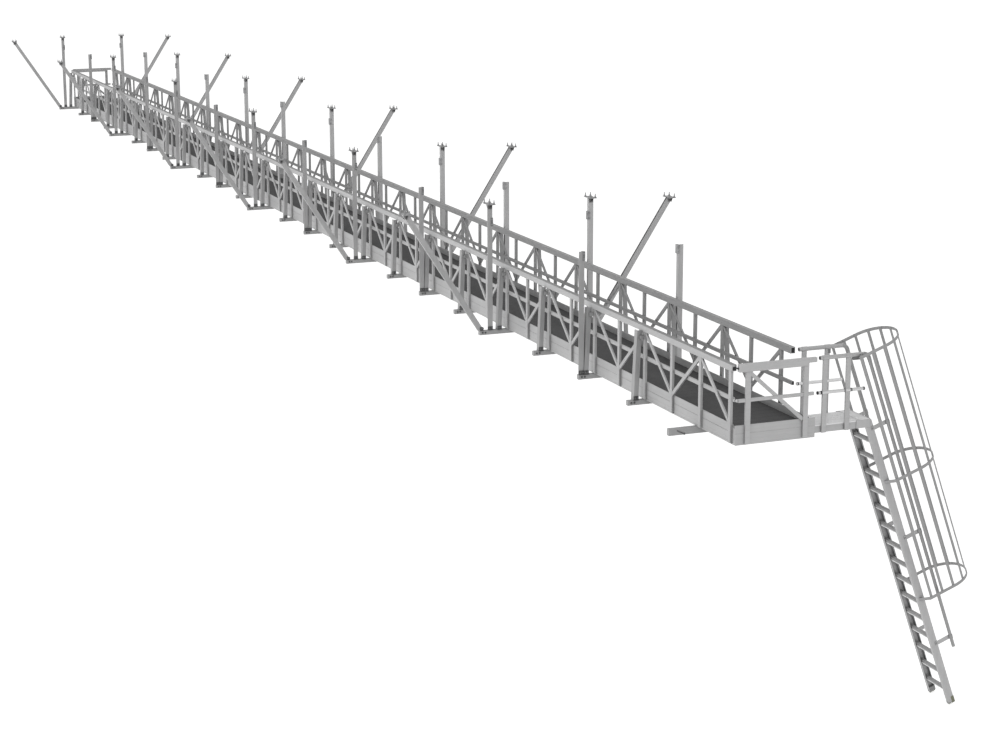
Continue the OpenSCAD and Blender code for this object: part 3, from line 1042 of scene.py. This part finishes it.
@dataclass
class DeckPanels(Assembly):
    """The deck's panels, one to a bay, with pressed grip bars across them."""

    seam: float = 0.002
    least: float = 0.05
    edge: float = 0.002
    bar_pitch: float = 0.095
    bar_width: float = 0.010
    bar_height: float = 0.0006
    bar_root: float = 0.001
    bar_edge: float = 0.0003
    margin: float = 0.02

    def build(self) -> None:
        """Lays the panels from the blind end to the ladder end."""
        low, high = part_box("deck")
        seams = [self.layout.origin.x + (0.5 - k) * self.layout.bay
                 for k in range(self.layout.bays + 2)]
        inner = sorted(x for x in seams if low.x + self.least < x < high.x - self.least)
        joints = [low.x, *inner, high.x]
        panels = [self.panel(start, end, low, high) for start, end in zip(joints, joints[1:])]
        self.own(Bench.join(panels), "deck_panels", "deck_grip", replaces=("deck",))

    def panel(self, start: float, end: float, low: Vector, high: Vector) -> Piece:
        """Models one panel with its grip bars.

        Args:
            start: Where it begins along the walkway.
            end: Where it ends.
            low: The deck's lowest corner.
            high: The deck's highest corner.

        Returns:
            The panel.
        """
        top = high.z - self.bar_height
        body = Bench.block((start + self.seam / 2, low.y, low.z),
                           (end - self.seam / 2, high.y, top), edge=self.edge)
        count = int((end - start) / self.bar_pitch)
        lead = start + (end - start - count * self.bar_pitch) / 2
        bar = Bench.block((0, low.y + self.margin, top - self.bar_root),
                          (self.bar_width, high.y - self.margin, high.z), edge=self.bar_edge)
        places = [Matrix.Translation((lead + (i + 0.5) * self.bar_pitch, 0, 0))
                  for i in range(count)]
        return Bench.join([body, *Bench.copies(bar, places)])


@dataclass
class RailEnds(Assembly):
    """The open ends of the handrails: a thin rim round a hollow, with a black sheet of painted
    shade in it.
    """

    rail_y: float = 0.3355
    rail_z: float = 0.572
    half_width: float = 0.0182
    half_height: float = 0.0237
    near_end: float = 0.561
    far_end: float = 0.2109
    wall: float = 0.0035
    rim: float = 0.003
    sink: float = 0.0022
    dark: tuple[float, float] = (0.0008, 0.0012)
    near_fill: float = 0.35
    fill: float = 0.86
    knee_plug: tuple[tuple[float, float, float], ...] = ((0.2559, 0.312, 0.3215),
                                                         (0.2585, 0.326, 0.3445))
    link_from: tuple[float, float] = (0.560, -0.333)
    link_to: tuple[float, float] = (0.592, -0.314)
    knee_z: float = 0.333
    ring_place: float = 0.45
    sleeve_radius: float = 0.0115
    ring_radius: float = 0.0122
    ring_half: float = 0.003
    upper_radius: float = 0.0065

    def build(self) -> None:
        """Builds the rims, and the black sheets of painted shade in their hollows, over the CAD
        plugs.
        """
        blind_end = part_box("rail_caps")[0].x + self.rim - self.layout.origin.x
        rims, hollows = [], []
        for x, side, way, fill in ((self.near_end, -1, 1, self.near_fill),
                                   (self.far_end, 1, 1, self.fill),
                                   (blind_end, -1, -1, self.fill), (blind_end, 1, -1, self.fill)):
            at = self.layout.spot(x, side * self.rail_y, self.rail_z)
            half = Vector((0, self.half_width, self.half_height))
            rim = Bench.block(at - half, at + half + Vector((way * self.rim, 0, 0)), edge=0.0008)
            rims.append(Bench.hollow(rim, facing(way, 0, 0), self.wall, self.sink))
            # A black sheet on the hollow's floor, up to a given height: painted shade inside the
            # open tube.
            start, end = (at + Vector((way * depth, 0, 0)) for depth in self.dark)
            low = Vector((0, self.half_width - self.wall, self.half_height - self.wall))
            high = Vector((0, low.y, self.half_height * fill))
            hollows.append(Bench.block(start - low, end + high, edge=0.0001))
        self.own(Bench.join(rims), "rail_rims", "railing_aluminium", replaces=("rail_caps",))
        hollows.append(Bench.block(*(self.layout.spot(*at) for at in self.knee_plug), edge=0.0005))
        self.own(Bench.join(hollows), "rail_hollows", "black_plug")
        self.build_links()

    def build_links(self) -> None:
        """Joins the near rails to the end railing: a round sleeve low down and a thin one above."""
        spot = self.layout.spot
        start, end = spot(*self.link_from, self.knee_z), spot(*self.link_to, self.knee_z)
        middle = start.lerp(end, self.ring_place)
        run = (end - start).normalized() * self.ring_half
        sleeve = Bench.rod(start, end, self.sleeve_radius, sides=20, edge=0.001)
        self.own(sleeve, "knee_sleeve", "railing_aluminium")
        ring = Bench.rod(middle - run, middle + run, self.ring_radius, sides=20, edge=0.0008)
        upper = Bench.rod(spot(*self.link_from, self.rail_z), spot(*self.link_to, self.rail_z),
                          self.upper_radius, sides=16)
        self.own(Bench.join([ring, upper]), "link_rings", "black_plug", "clamp_plastic")


@dataclass
class Fascias(Assembly):
    """The extruded fascias: flat bands between shallow grooves, and a thin lip on top."""

    thickness: float = 0.038
    lip: float = 0.007
    lip_height: float = 0.024
    skin: float = 0.003
    groove_height: float = 0.004
    grooves: tuple[tuple[float, float], ...] = ((0.013, 0.0013), (0.041, 0.0007), (0.085, 0.0022))
    end_share: float = 0.55
    body_edge: float = 0.001
    lip_edge: float = 0.0006
    band_edge: float = 0.0004

    def build(self) -> None:
        """Builds the four fascias over the CAD's."""
        # The far fascia takes a darker copy of the finish: painted shade.
        for name, finish in (("fascia_near", "fascia_aluminium"),
                             ("fascia_far", "fascia_aluminium_far"),
                             ("fascia_ladder_end", "end_fascia_aluminium"),
                             ("fascia_blind_end", "end_fascia_aluminium")):
            low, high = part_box(name)
            top = high.z - low.z
            shelf = top - self.lip_height
            share = self.end_share if name.endswith("_end") else 1.0
            back, foot = self.skin - OVERLAP, 0.0
            parts = [self.layer(name, (back, self.thickness), (0.0, shelf), self.body_edge),
                     self.layer(name, (back, self.lip), (shelf - OVERLAP, top), self.lip_edge)]
            for start, depth in self.grooves:
                end = start + self.groove_height
                parts.append(self.layer(name, (0.0, self.skin), (foot, start), self.band_edge))
                parts.append(self.layer(name, (share * depth, self.skin - OVERLAP / 2),
                                        (start - OVERLAP, end + OVERLAP)))
                foot = end
            parts.append(self.layer(name, (0.0, self.skin), (foot, top), self.band_edge))
            self.own(Bench.join(parts), name + "_bands", "fascia_aluminium", finish, (name,))

    def layer(self, name: str, depth: tuple[float, float], height: tuple[float, float],
              edge: float = 0.0) -> Piece:
        """Models one flat layer of a fascia.

        Args:
            name: The fascia's node.
            depth: Where the layer starts and ends behind the fascia's face.
            height: Where it starts and ends over the fascia's underside.
            edge: The rounding of its edges.

        Returns:
            The layer.
        """
        low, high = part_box(name)
        start, end = Vector(low), Vector(high)
        start.z, end.z = low.z + height[0], low.z + height[1]
        if name == "fascia_ladder_end":
            start.x, end.x = high.x - depth[1], high.x - depth[0]
        elif name == "fascia_blind_end":
            start.x, end.x = low.x + depth[0], low.x + depth[1]
        else:
            start.y, end.y = low.y + depth[0], low.y + depth[1]
        return Bench.block(start, end, edge=edge)


@dataclass
class Diagonals(Assembly):
    """The flat bars of the trusses' fans, with rounded edges, and the near handrail's dark top,
    which is painted shade.
    """

    post_x: float = 0.041
    head_z: float = 0.550
    foot_z: float = 0.162
    reach: float = 0.459
    spare: float = 0.010
    widths: tuple[float, float] = (0.029, 0.026)
    ys: tuple[float, float] = (0.3294, 0.3436)
    edge: float = 0.002
    rail_y: tuple[float, float] = (-0.3550, -0.3170)
    rail_z: tuple[float, float] = (0.5940, 0.5966)

    def build(self) -> None:
        """Builds both trusses' bars and the strip on the near handrail."""
        layout = self.layout
        # The far truss's bars take the darker far finish: painted shade.
        for side, finish in ((Side.NEAR, "truss_aluminium"), (Side.FAR, "truss_aluminium_far")):
            bars = []
            for way, width in zip((-1, 1), self.widths):
                first = 1 if side is Side.FAR and way > 0 else 0
                last = layout.bays - (1 if way < 0 else 0)
                places = [Matrix.Translation(layout.spot(self.post_x - k * layout.bay, 0, 0))
                          for k in range(first, last + 1)]
                bars += Bench.copies(self.bar(side, way, width), places)
            self.own(Bench.join(bars), "diagonals_" + side.name.lower(), finish)
        low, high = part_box("truss_near")
        start = layout.spot(0, self.rail_y[0], self.rail_z[0])
        end = layout.spot(0, self.rail_y[1], self.rail_z[1])
        # A dark strip on the handrail's top face: painted shade.
        top = Bench.block((low.x, start.y, start.z), (high.x, end.y, end.z), edge=0.0008)
        self.own(top, "near_rail_top", "truss_aluminium", "rail_top_painted_shade")

    def bar(self, side: Side, way: int, width: float) -> Piece:
        """Models one bar from a post's head down to the next half-bay post.

        Args:
            side: The walkway's side.
            way: The direction of its foot along the walkway, -1 or 1.
            width: The bar's width.

        Returns:
            The bar, its head at the post's distance 0.
        """
        fall = self.head_z - self.foot_z
        length = math.hypot(self.reach, fall) + self.spare
        bar = Bench.block((0, side.value * self.ys[0], -width / 2),
                          (length, side.value * self.ys[1], width / 2), edge=self.edge, steps=2)
        turn = math.atan2(fall, way * self.reach)
        bar.data.transform(Matrix.Translation((0, 0, self.head_z)) @ Matrix.Rotation(turn, 4, "Y"))
        return bar


@dataclass
class TrussWelds(Assembly):
    """The weld beads where the trusses' posts meet the handrail and the knee rail."""

    post_x: float = 0.041
    half_post: float = 0.018
    radius: float = 0.0026
    rows: tuple[tuple[float, float], ...] = ((0.344, 0.548), (0.3255, 0.3465), (0.3255, 0.3195))

    def build(self) -> None:
        """Lays the beads on both trusses."""
        for side in Side:
            bead = Bench.rod((-self.half_post, 0, 0), (self.half_post, 0, 0), self.radius, sides=6,
                             edge=self.radius * 0.4)
            places = [Matrix.Translation(self.layout.spot(self.post_x - k * self.layout.bay / 2,
                                                          side.value * y, z))
                      for k in range(2 * self.layout.bays + 1) for y, z in self.rows]
            self.own(Bench.row(bead, places), "welds_" + side.name.lower(), "truss_aluminium",
                     "weld_aluminium")


# ---- Landing ----


@dataclass(frozen=True)
class LandingRailing:
    """One railing of the landing: its place, its knee tube's finish and its tubes' fittings.

    Face is the distance of the frame's face along the walkway, and way the direction away from
    the landing. Caps and rings are lengths on the knee tube, and the clamp under the handrail
    is given by its two ends and its drop.
    """

    name: str
    face: float
    way: int
    knee_finish: str
    caps: tuple[tuple[float, float], ...]
    rings: tuple[tuple[float, float], ...]
    clamp: tuple[float, float, float]


@dataclass
class Landing(Assembly):
    """The landing: its ribbed floor, its two railings with round tubes, and their fittings."""

    planks: int = 6
    plank_gap: float = 0.0008
    ribs: int = 5
    rib_half: float = 0.0022
    rib_height: float = 0.0005
    threshold: tuple[tuple[float, float, float], ...] = ((0.276, 0.716, 0.0830),
                                                         (0.559, 0.804, 0.0878))
    threshold_rim: float = 0.006
    threshold_sink: float = 0.0006
    posts: tuple[float, float] = (0.384, 0.578)
    post_thick: float = 0.018
    post_width: float = 0.037
    foot_z: float = 0.025
    hand_y: float = 0.357
    hand_end: float = 0.7206
    hand_z: float = 0.587
    hand_radius: float = 0.016
    cup_over: float = 0.004
    cup_wall: float = 0.0022
    knee_y: float = 0.345
    knee_end: float = 0.738
    knee_z: float = 0.327
    knee_radius: float = 0.0125
    ring_wall: float = 0.0008
    plug_radius: float = 0.0115
    clamp_half: float = 0.010
    clamp_grip: float = 0.003
    railings: tuple[LandingRailing, ...] = (
        LandingRailing("front", 0.5635, 1, "bright_tube", ((0.3415, 0.350), (0.3660, 0.3810)),
                       ((0.563, 0.5775), (0.6155, 0.632), (0.722, 0.7382)), (0.630, 0.690, 0.022)),
        LandingRailing("back", 0.2715, -1, "pale_tube", ((0.3490, 0.3590),),
                       ((0.563, 0.5775), (0.728, 0.7382)), (0.598, 0.622, 0.033)),
    )

    def build(self) -> None:
        """Builds the floor and both railings."""
        self.build_floor()
        for railing in self.railings:
            self.build_railing(railing)
        self.build_caps()

    def build_floor(self) -> None:
        """Lays the floor's planks, each with raised ribs along it, and the threshold plate."""
        low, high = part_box("landing_floor")
        width = (high.x - low.x) / self.planks
        top = high.z - self.rib_height
        parts = []
        for start in (low.x + i * width for i in range(self.planks)):
            parts.append(Bench.block((start + self.plank_gap, low.y, low.z),
                                     (start + width - self.plank_gap, high.y, top), edge=0.001))
            for j in range(self.ribs):
                x = start + (j + 0.5) * width / self.ribs
                parts.append(Bench.block((x - self.rib_half, low.y, top - self.rib_height),
                                         (x + self.rib_half, high.y, high.z), edge=0.0002))
        self.own(Bench.join(parts), "landing_planks", "landing_aluminium", "landing_floor",
                 ("landing_floor",))
        step = Bench.block(*(self.layout.spot(*at) for at in self.threshold), edge=0.0015, steps=2)
        Bench.hollow(step, facing(0, 0, 1), self.threshold_rim, self.threshold_sink)
        self.own(step, "landing_threshold", "landing_aluminium", "landing_floor")

    def tube(self, x: float, z: float, ends: tuple[float, float], radius: float, sides: int,
             edge: float = 0.0) -> Piece:
        """Models a round length that lies across the walkway.

        Args:
            x: Its distance along the walkway.
            z: Its height.
            ends: Where it starts and ends across the walkway.
            radius: Its radius.
            sides: Its number of sides.
            edge: The rounding of its rims.

        Returns:
            The length of tube.
        """
        start, end = (self.layout.spot(x, y, z) for y in ends)
        return Bench.rod(start, end, radius, sides=sides, edge=edge)

    def middle(self, railing: LandingRailing) -> float:
        """Gives the distance of a railing's tubes along the walkway."""
        return railing.face + railing.way * self.post_thick / 2

    def build_railing(self, railing: LandingRailing) -> None:
        """Builds one railing's posts and handrail, and its brighter knee tube.

        Args:
            railing: The railing.
        """
        spot, over, middle = self.layout.spot, self.cup_over, self.middle(railing)
        back = railing.face + railing.way * self.post_thick
        parts = []
        for y in self.posts:
            end = y + self.post_width
            parts.append(Bench.block(spot(railing.face, y, self.foot_z),
                                     spot(back, end, self.hand_z - over), edge=0.0025, steps=2))
            parts.append(self.tube(middle, self.hand_z, (y - over, end + over),
                                   self.hand_radius + self.cup_wall, sides=24, edge=0.001))
        parts.append(self.tube(middle, self.hand_z, (self.hand_y, self.hand_end),
                               self.hand_radius, sides=32))
        self.own(Bench.join(parts), "landing_railing_" + railing.name, "railing_aluminium",
                 replaces=("landing_rail_" + railing.name,))
        knee = self.tube(middle, self.knee_z, (self.knee_y, self.knee_end), self.knee_radius,
                         sides=28)
        self.own(knee, "landing_knee_tube_" + railing.name, "railing_aluminium",
                 railing.knee_finish)

    def build_caps(self) -> None:
        """Builds the dark caps at the tubes' open ends, and the grey rings and clamps."""
        spot, radius = self.layout.spot, self.knee_radius + self.ring_wall
        plug = (self.hand_y - self.cup_over, self.hand_y + self.cup_over)
        low = self.hand_z - self.hand_radius
        caps, clamps = [], []
        for railing in self.railings:
            x = self.middle(railing)
            caps.append(self.tube(x, self.hand_z, plug, self.plug_radius, sides=28, edge=0.002))
            for made, spans in ((caps, railing.caps), (clamps, railing.rings)):
                made.extend(self.tube(x, self.knee_z, span, radius, sides=24, edge=0.001)
                            for span in spans)
            start, end, drop = railing.clamp
            clamps.append(Bench.block(spot(x - self.clamp_half, start, low - drop),
                                      spot(x + self.clamp_half, end, low + self.clamp_grip),
                                      edge=0.002, steps=2))
        self.own(Bench.join(caps), "tube_caps", "black_plug", "clamp_plastic", ("landing_clamps",))
        self.own(Bench.join(clamps), "tube_clamps", "railing_aluminium", "dark_plate")


# ---- Ladder ----


@dataclass
class CagedLadder(Assembly):
    """The leaning ladder: rungs, grab rails, hoop rivets, brackets and feet."""

    x: float = 0.41755
    y: float = 0.807
    lean: float = 19.7
    stile_out: float = 0.146
    stile_web: float = 0.005
    stile_low: float = -0.024
    stile_high: float = 0.033
    length: float = 2.400
    rungs: int = 15
    rung_first: float = -0.100
    rung_pitch: float = 0.1556
    rung_half: float = 0.014
    rung_dip: float = 0.0012
    collar: float = 0.003
    collar_over: float = 0.001
    collar_reach: float = 0.0035
    collar_dip: float = 0.0015
    ribs: int = 6
    rib_half: float = 0.0017
    rib_inset: float = 0.0035
    rib_root: float = 0.002
    lip: float = 0.010
    lip_over: float = 0.0008
    lip_root: float = 0.001
    hoops: int = 3
    hoop_top: float = 0.586
    hoop_pitch: float = 1.024
    cage_s: float = 0.280
    cage_faces: tuple[tuple[float, int], ...] = ((0.209, 1), (0.2033, -1))
    bar_angles: tuple[float, ...] = (26, 52, 78, 102, 128, 154)
    bar_arms: tuple[float, ...] = (0.065, 0.167, 0.268)
    sole: float = 0.010
    shoe_x: tuple[float, float] = (0.002, 0.024)
    shoe_inset: float = 0.002
    shoe_z: tuple[float, float] = (0.006, 0.045)
    sole_ribs: int = 4
    sole_first: float = 0.004
    sole_pitch: float = 0.0135
    sole_rib: float = 0.007
    pad_x: tuple[float, float] = (-0.0018, 0.004)
    pad_y: tuple[float, float] = (-0.023, 0.003)
    pad_z: tuple[float, float] = (0.001, 0.056)
    grab_s: float = 0.150
    grab_out: float = 0.009
    grab_radius: float = 0.013
    grab_low: float = -1.960
    grab_neck: float = 0.060
    hand_radius: float = 0.016
    hand_z: float = 0.587
    bend_radius: float = 0.050
    bend_steps: int = 14
    tube_sides: int = 28
    brackets: int = 3
    bracket_first: float = 0.005
    bracket_pitch: float = 0.938
    bracket_leaf: float = 0.005
    bracket_half: float = 0.017
    bracket_back: float = 0.020
    bolt_back: float = 0.012
    clamp_half: float = 0.016
    clamp_wall: float = 0.003
    bolt: Bolt = Bolt(0.006, 0.004, 0.008, 0.0015)

    def frame(self) -> Matrix:
        """Gives the matrix from the ladder's own frame: X across, Y outwards, Z up the stiles."""
        return (Matrix.Translation(self.layout.spot(self.x, self.y, 0))
                @ Matrix.Rotation(math.radians(self.lean), 4, "X"))

    def build(self) -> None:
        """Builds the ladder's pieces."""
        self.build_rungs()
        self.build_rivets()
        self.build_feet()
        self.build_grab_rail("front", 1)
        self.build_grab_rail("back", -1)

    def build_rungs(self) -> None:
        """Builds the rungs: a collar at both stiles, ribs on the tread and a lip below; the lip's
        bright finish is a painted highlight, and the bars' dark one painted shade.
        """
        half, r = self.stile_out - self.stile_web, self.rung_half
        body = [Bench.block((-half, -r, -r), (half, r, r - self.rung_dip), edge=0.003, steps=2)]
        for side in (-1, 1):
            body.append(Bench.block((side * half, -r - self.collar_over, -r - self.collar_over),
                                    (side * (half - self.collar), r + self.collar_reach,
                                     r - self.collar_dip), edge=0.0012))
        ribs = []
        for i in range(self.ribs):
            y = -r + self.rib_inset + i * 2 * (r - self.rib_inset) / (self.ribs - 1)
            ribs.append(Bench.block((-half, y - self.rib_half, r - self.rib_root),
                                    (half, y + self.rib_half, r), edge=0.0004))
        lip = Bench.block((-half, -r - self.lip_over, -r),
                          (half, -r + self.lip_root, -r + self.lip), edge=0.0006)
        places = [self.frame() @ Matrix.Translation((0, 0, self.rung_first - i * self.rung_pitch))
                  for i in range(self.rungs)]
        # Dark bars, paler treads and bright lips: painted shade and highlight on one aluminium.
        for piece, name, finish, nodes in (
                (Bench.join(body), "ladder_rung_bars", "rung_aluminium", ("ladder_rungs",)),
                (Bench.join(ribs), "ladder_treads", "rung_tread", ()),
                (lip, "ladder_rung_lips", "rung_lip", ())):
            self.own(Bench.row(piece, places), name, "rung_aluminium", finish, nodes)

    def build_rivets(self) -> None:
        """Sets the rivets of the bars on the hoops, inside and outside."""
        frame = self.frame()
        places = []
        for z in (self.hoop_top - i * self.hoop_pitch for i in range(self.hoops)):
            spots = [(Vector((0, self.cage_s, z)), Vector((math.cos(turn), math.sin(turn), 0)))
                     for turn in map(math.radians, self.bar_angles)]
            spots += [(Vector((0, arm, z)), Vector((side, 0, 0)))
                      for arm in self.bar_arms for side in (-1, 1)]
            places += [frame @ placed(centre + out * radius, out * way)
                       for centre, out in spots for radius, way in self.cage_faces]
        self.own(Bench.row(Rivet().master(), places), "cage_rivets", "cage_aluminium")

    def build_feet(self) -> None:
        """Builds the stiles' shoes, each with a ribbed rubber sole and a pad at its corner."""
        low = -self.length - self.sole
        back, front = self.stile_low, self.stile_high
        shoes, rubber = [], []
        for side in (-1, 1):
            start, end = (side * (self.stile_out - inset) for inset in self.shoe_x)
            shoes.append(Bench.block((start, back + self.shoe_inset, low + self.shoe_z[0]),
                                     (end, front - self.shoe_inset, low + self.shoe_z[1]),
                                     edge=0.002, steps=2))
            for y in (back + self.sole_first + j * self.sole_pitch for j in range(self.sole_ribs)):
                rubber.append(Bench.block((start, y, low),
                                          (end, y + self.sole_rib, low + self.sole_rib),
                                          edge=0.0006))
            pad = [(side * (self.stile_out - x), front + y, low + z)
                   for x, y, z in zip(self.pad_x, self.pad_y, self.pad_z)]
            rubber.append(Bench.block(*pad, edge=0.0015, steps=2))
        boots, cuffs = Bench.join(rubber), Bench.join(shoes)
        for piece in (boots, cuffs):
            piece.data.transform(self.frame())
        self.own(boots, "ladder_boots", "foot_rubber", replaces=("ladder_feet",))
        self.own(cuffs, "ladder_shoes", "ladder_aluminium", "rung_aluminium")

    def build_grab_rail(self, name: str, side: int) -> None:
        """Builds one grab rail: the tube with its bend, and its three clamped brackets.

        Args:
            name: The rail's name.
            side: The side of the ladder, -1 or 1.
        """
        lean, s, radius = math.radians(self.lean), self.grab_s, self.grab_radius
        x, face = side * (self.stile_out + self.grab_out), side * self.stile_out
        leaf = face + side * self.bracket_leaf
        top = (self.hand_z - s * math.sin(lean)) / math.cos(lean)
        angle = math.pi / 2 - lean
        tangent = self.bend_radius * math.tan(angle / 2)
        neck = top - tangent
        collar = neck - self.grab_neck
        parts = [Bench.rod((x, s, self.grab_low), (x, s, collar), radius, sides=self.tube_sides),
                 Bench.rod((x, s, collar), (x, s, neck), radius, sides=self.tube_sides,
                           tip=self.hand_radius)]
        arms = []
        for z in (self.bracket_first - i * self.bracket_pitch for i in range(self.brackets)):
            arms.append(Bench.block((face, self.stile_high - self.bracket_back,
                                     z - self.bracket_half),
                                    (leaf, s, z + self.bracket_half), edge=0.001))
            parts.append(Bench.rod((x, s, z - self.clamp_half), (x, s, z + self.clamp_half),
                                   radius + self.clamp_wall, sides=24, edge=0.001))
            parts += Bench.copies(self.bolt.master(), [
                placed((leaf, self.stile_high - self.bolt_back, z), (side, 0, 0))])
        rail, brackets = Bench.join(parts), Bench.join(arms)
        for piece in (rail, brackets):
            piece.data.transform(self.frame())
        self.own(brackets, "grab_brackets_" + name, "ladder_aluminium")
        bend_y = self.y + s * math.cos(lean) - top * math.sin(lean) - tangent
        bend = self.bend(x, bend_y, angle)
        self.own(Bench.join([rail, bend]), "grab_rail_tube_" + name, "cage_aluminium",
                 replaces=("grab_rail_" + name,))

    def bend(self, x: float, y: float, angle: float) -> Piece:
        """Spins the tube's bend from the handrail down into the grab rail.

        Args:
            x: The tube's distance from the ladder's middle.
            y: Where the bend begins, across the walkway.
            angle: How far it turns.

        Returns:
            The bend.
        """
        centre = self.layout.spot(self.x + x, y, self.hand_z - self.bend_radius)
        Bench.only()
        bpy.ops.mesh.primitive_circle_add(vertices=self.tube_sides, radius=self.hand_radius,
                                          fill_type="NOTHING",
                                          location=centre + Vector((0, 0, self.bend_radius)),
                                          rotation=(math.pi / 2, 0, 0))
        piece = bpy.context.object
        Bench.settle(piece)
        bpy.ops.object.mode_set(mode="EDIT")
        bpy.ops.mesh.select_all(action="SELECT")
        bpy.ops.mesh.spin(steps=self.bend_steps, angle=angle, center=centre, axis=(1, 0, 0))
        bpy.ops.mesh.select_all(action="SELECT")
        bpy.ops.mesh.remove_doubles(threshold=0.0001)
        bpy.ops.mesh.fill_holes(sides=0)
        bpy.ops.mesh.normals_make_consistent(inside=False)
        bpy.ops.object.mode_set(mode="OBJECT")
        bpy.ops.object.shade_smooth_by_angle(angle=SMOOTH_ANGLE)
        return piece


# ---- Studio ----


@dataclass
class Studio:
    """The pale floor, the soft lights and the camera."""

    floor_level: float
    floor_size: float = 400.0
    floor_glow: float = 0.6
    ambient: float = 0.62
    glossy_share: float = 0.6
    side_panels: int = 4
    side_first: float = -9.0
    side_pitch: float = 6.2
    camera_at: tuple[float, float, float] = (25.9394, -7.2619, 3.1000)
    camera_turn: tuple[float, float, float] = (76.940, 0.1533, 68.097)
    lens: float = 81.337
    sensor: float = 36.0
    reach: float = 200.0

    def build(self) -> None:
        """Builds the whole studio."""
        self.make_world()
        self.make_floor()
        self.make_lights()
        self.make_camera()

    def make_world(self) -> None:
        """Makes a plain soft sky that shows white to the camera and pale in reflections."""
        world = bpy.data.worlds.new("studio")
        bpy.context.scene.world = world
        world.use_nodes = True
        w = Tree(world.node_tree)
        sky = w.tree.nodes["Background"]
        w.feed(sky.inputs["Color"], (*WHITE, 1))
        w.feed(sky.inputs["Strength"], self.ambient)
        white = w.add("Background", {"Color": (*WHITE, 1)}).outputs[0]
        rays = w.add("LightPath").outputs
        seen = w.math("MAXIMUM", rays["Is Camera Ray"], rays["Is Transmission Ray"])
        share = w.add("Math", {0: rays["Is Glossy Ray"], 1: self.glossy_share, 2: seen},
                      operation="MULTIPLY_ADD").outputs[0]
        mix = w.add("MixShader", {0: share, 1: sky.outputs[0], 2: white}).outputs[0]
        w.feed(w.tree.nodes["World Output"].inputs["Surface"], mix)

    def make_floor(self) -> None:
        """Makes a wide pale floor under the ladder's feet that keeps the object's shadow."""
        bpy.ops.mesh.primitive_plane_add(size=self.floor_size, location=(0, 0, self.floor_level))
        floor = bpy.context.object
        floor.name = "floor"
        g = Graph("floor")
        rays = g.add("LightPath").outputs
        seen = g.math("MAXIMUM", rays["Is Camera Ray"],
                      g.math("MAXIMUM", rays["Is Glossy Ray"], rays["Is Transmission Ray"]))
        mottle = g.spread(g.noise(g.place(), scale=0.8, detail=3.0), 0.80, 0.82)
        diffuse = g.add("BsdfDiffuse", {"Color": g.tint(WHITE, mottle)}).outputs[0]
        glow = g.add("Emission", {"Strength": g.math("MULTIPLY", seen, self.floor_glow)}).outputs[0]
        both = g.add("AddShader", {0: diffuse, 1: glow}).outputs[0]
        g.feed(g.tree.nodes["Material Output"].inputs["Surface"], both)
        floor.data.materials.append(g.material)

    def make_lights(self) -> None:
        """Hangs long soft panels beside the near side, and one before the ladder end."""
        for index in range(self.side_panels):
            x = self.side_first + index * self.side_pitch
            self.panel("side_panel_%d" % index, at=(x, -3.2, 0.8), aim=(x, 0.5, -0.9),
                       width=6.0, height=1.6, power=85.0)
        self.panel("end_panel", at=(16.5, -1.2, 0.6), aim=(11.5, 0.6, -0.9),
                   width=3.0, height=2.0, power=60.0)

    def panel(self, name: str, at: Sequence[float], aim: Sequence[float], width: float,
              height: float, power: float) -> None:
        """Adds one soft panel that the camera doesn't see.

        Args:
            name: The lamp's name.
            at: Its place.
            aim: The point that it faces.
            width: Its width in metres.
            height: Its height in metres.
            power: Its power in watts.
        """
        data = bpy.data.lights.new(name, "AREA")
        data.shape, data.size, data.size_y, data.energy = "RECTANGLE", width, height, power
        lamp = bpy.data.objects.new(name, data)
        bpy.context.collection.objects.link(lamp)
        lamp.location = at
        lamp.rotation_euler = (Vector(aim) - Vector(at)).to_track_quat("-Z", "Y").to_euler()
        lamp.visible_camera = lamp.visible_glossy = False

    def make_camera(self) -> None:
        """Sets the camera before the ladder end, looking along the walkway."""
        data = bpy.data.cameras.new("camera")
        data.lens, data.sensor_width, data.clip_end = self.lens, self.sensor, self.reach
        camera = bpy.data.objects.new("camera", data)
        bpy.context.collection.objects.link(camera)
        camera.location = self.camera_at
        camera.rotation_euler = [math.radians(angle) for angle in self.camera_turn]
        bpy.context.scene.camera = camera


def main() -> None:
    """Builds the studio and the object's pieces in order."""
    logging.basicConfig(level=logging.INFO, format="%(name)s: %(message)s")
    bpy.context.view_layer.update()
    Studio(floor_level=min(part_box(name)[0].z for name in frame["nodes"])).build()
    wardrobe = Wardrobe()
    wardrobe.dress_nodes()
    layout = Layout.measured()
    for assembly in (HangerHeads, Footings, PlateBolts, DeckPanels, Fascias, Diagonals, RailEnds,
                     TrussWelds, Landing, CagedLadder):
        assembly(layout, wardrobe).build()
    bpy.context.scene.view_settings.view_transform = "Standard"


if __name__ == "__main__":
    main()
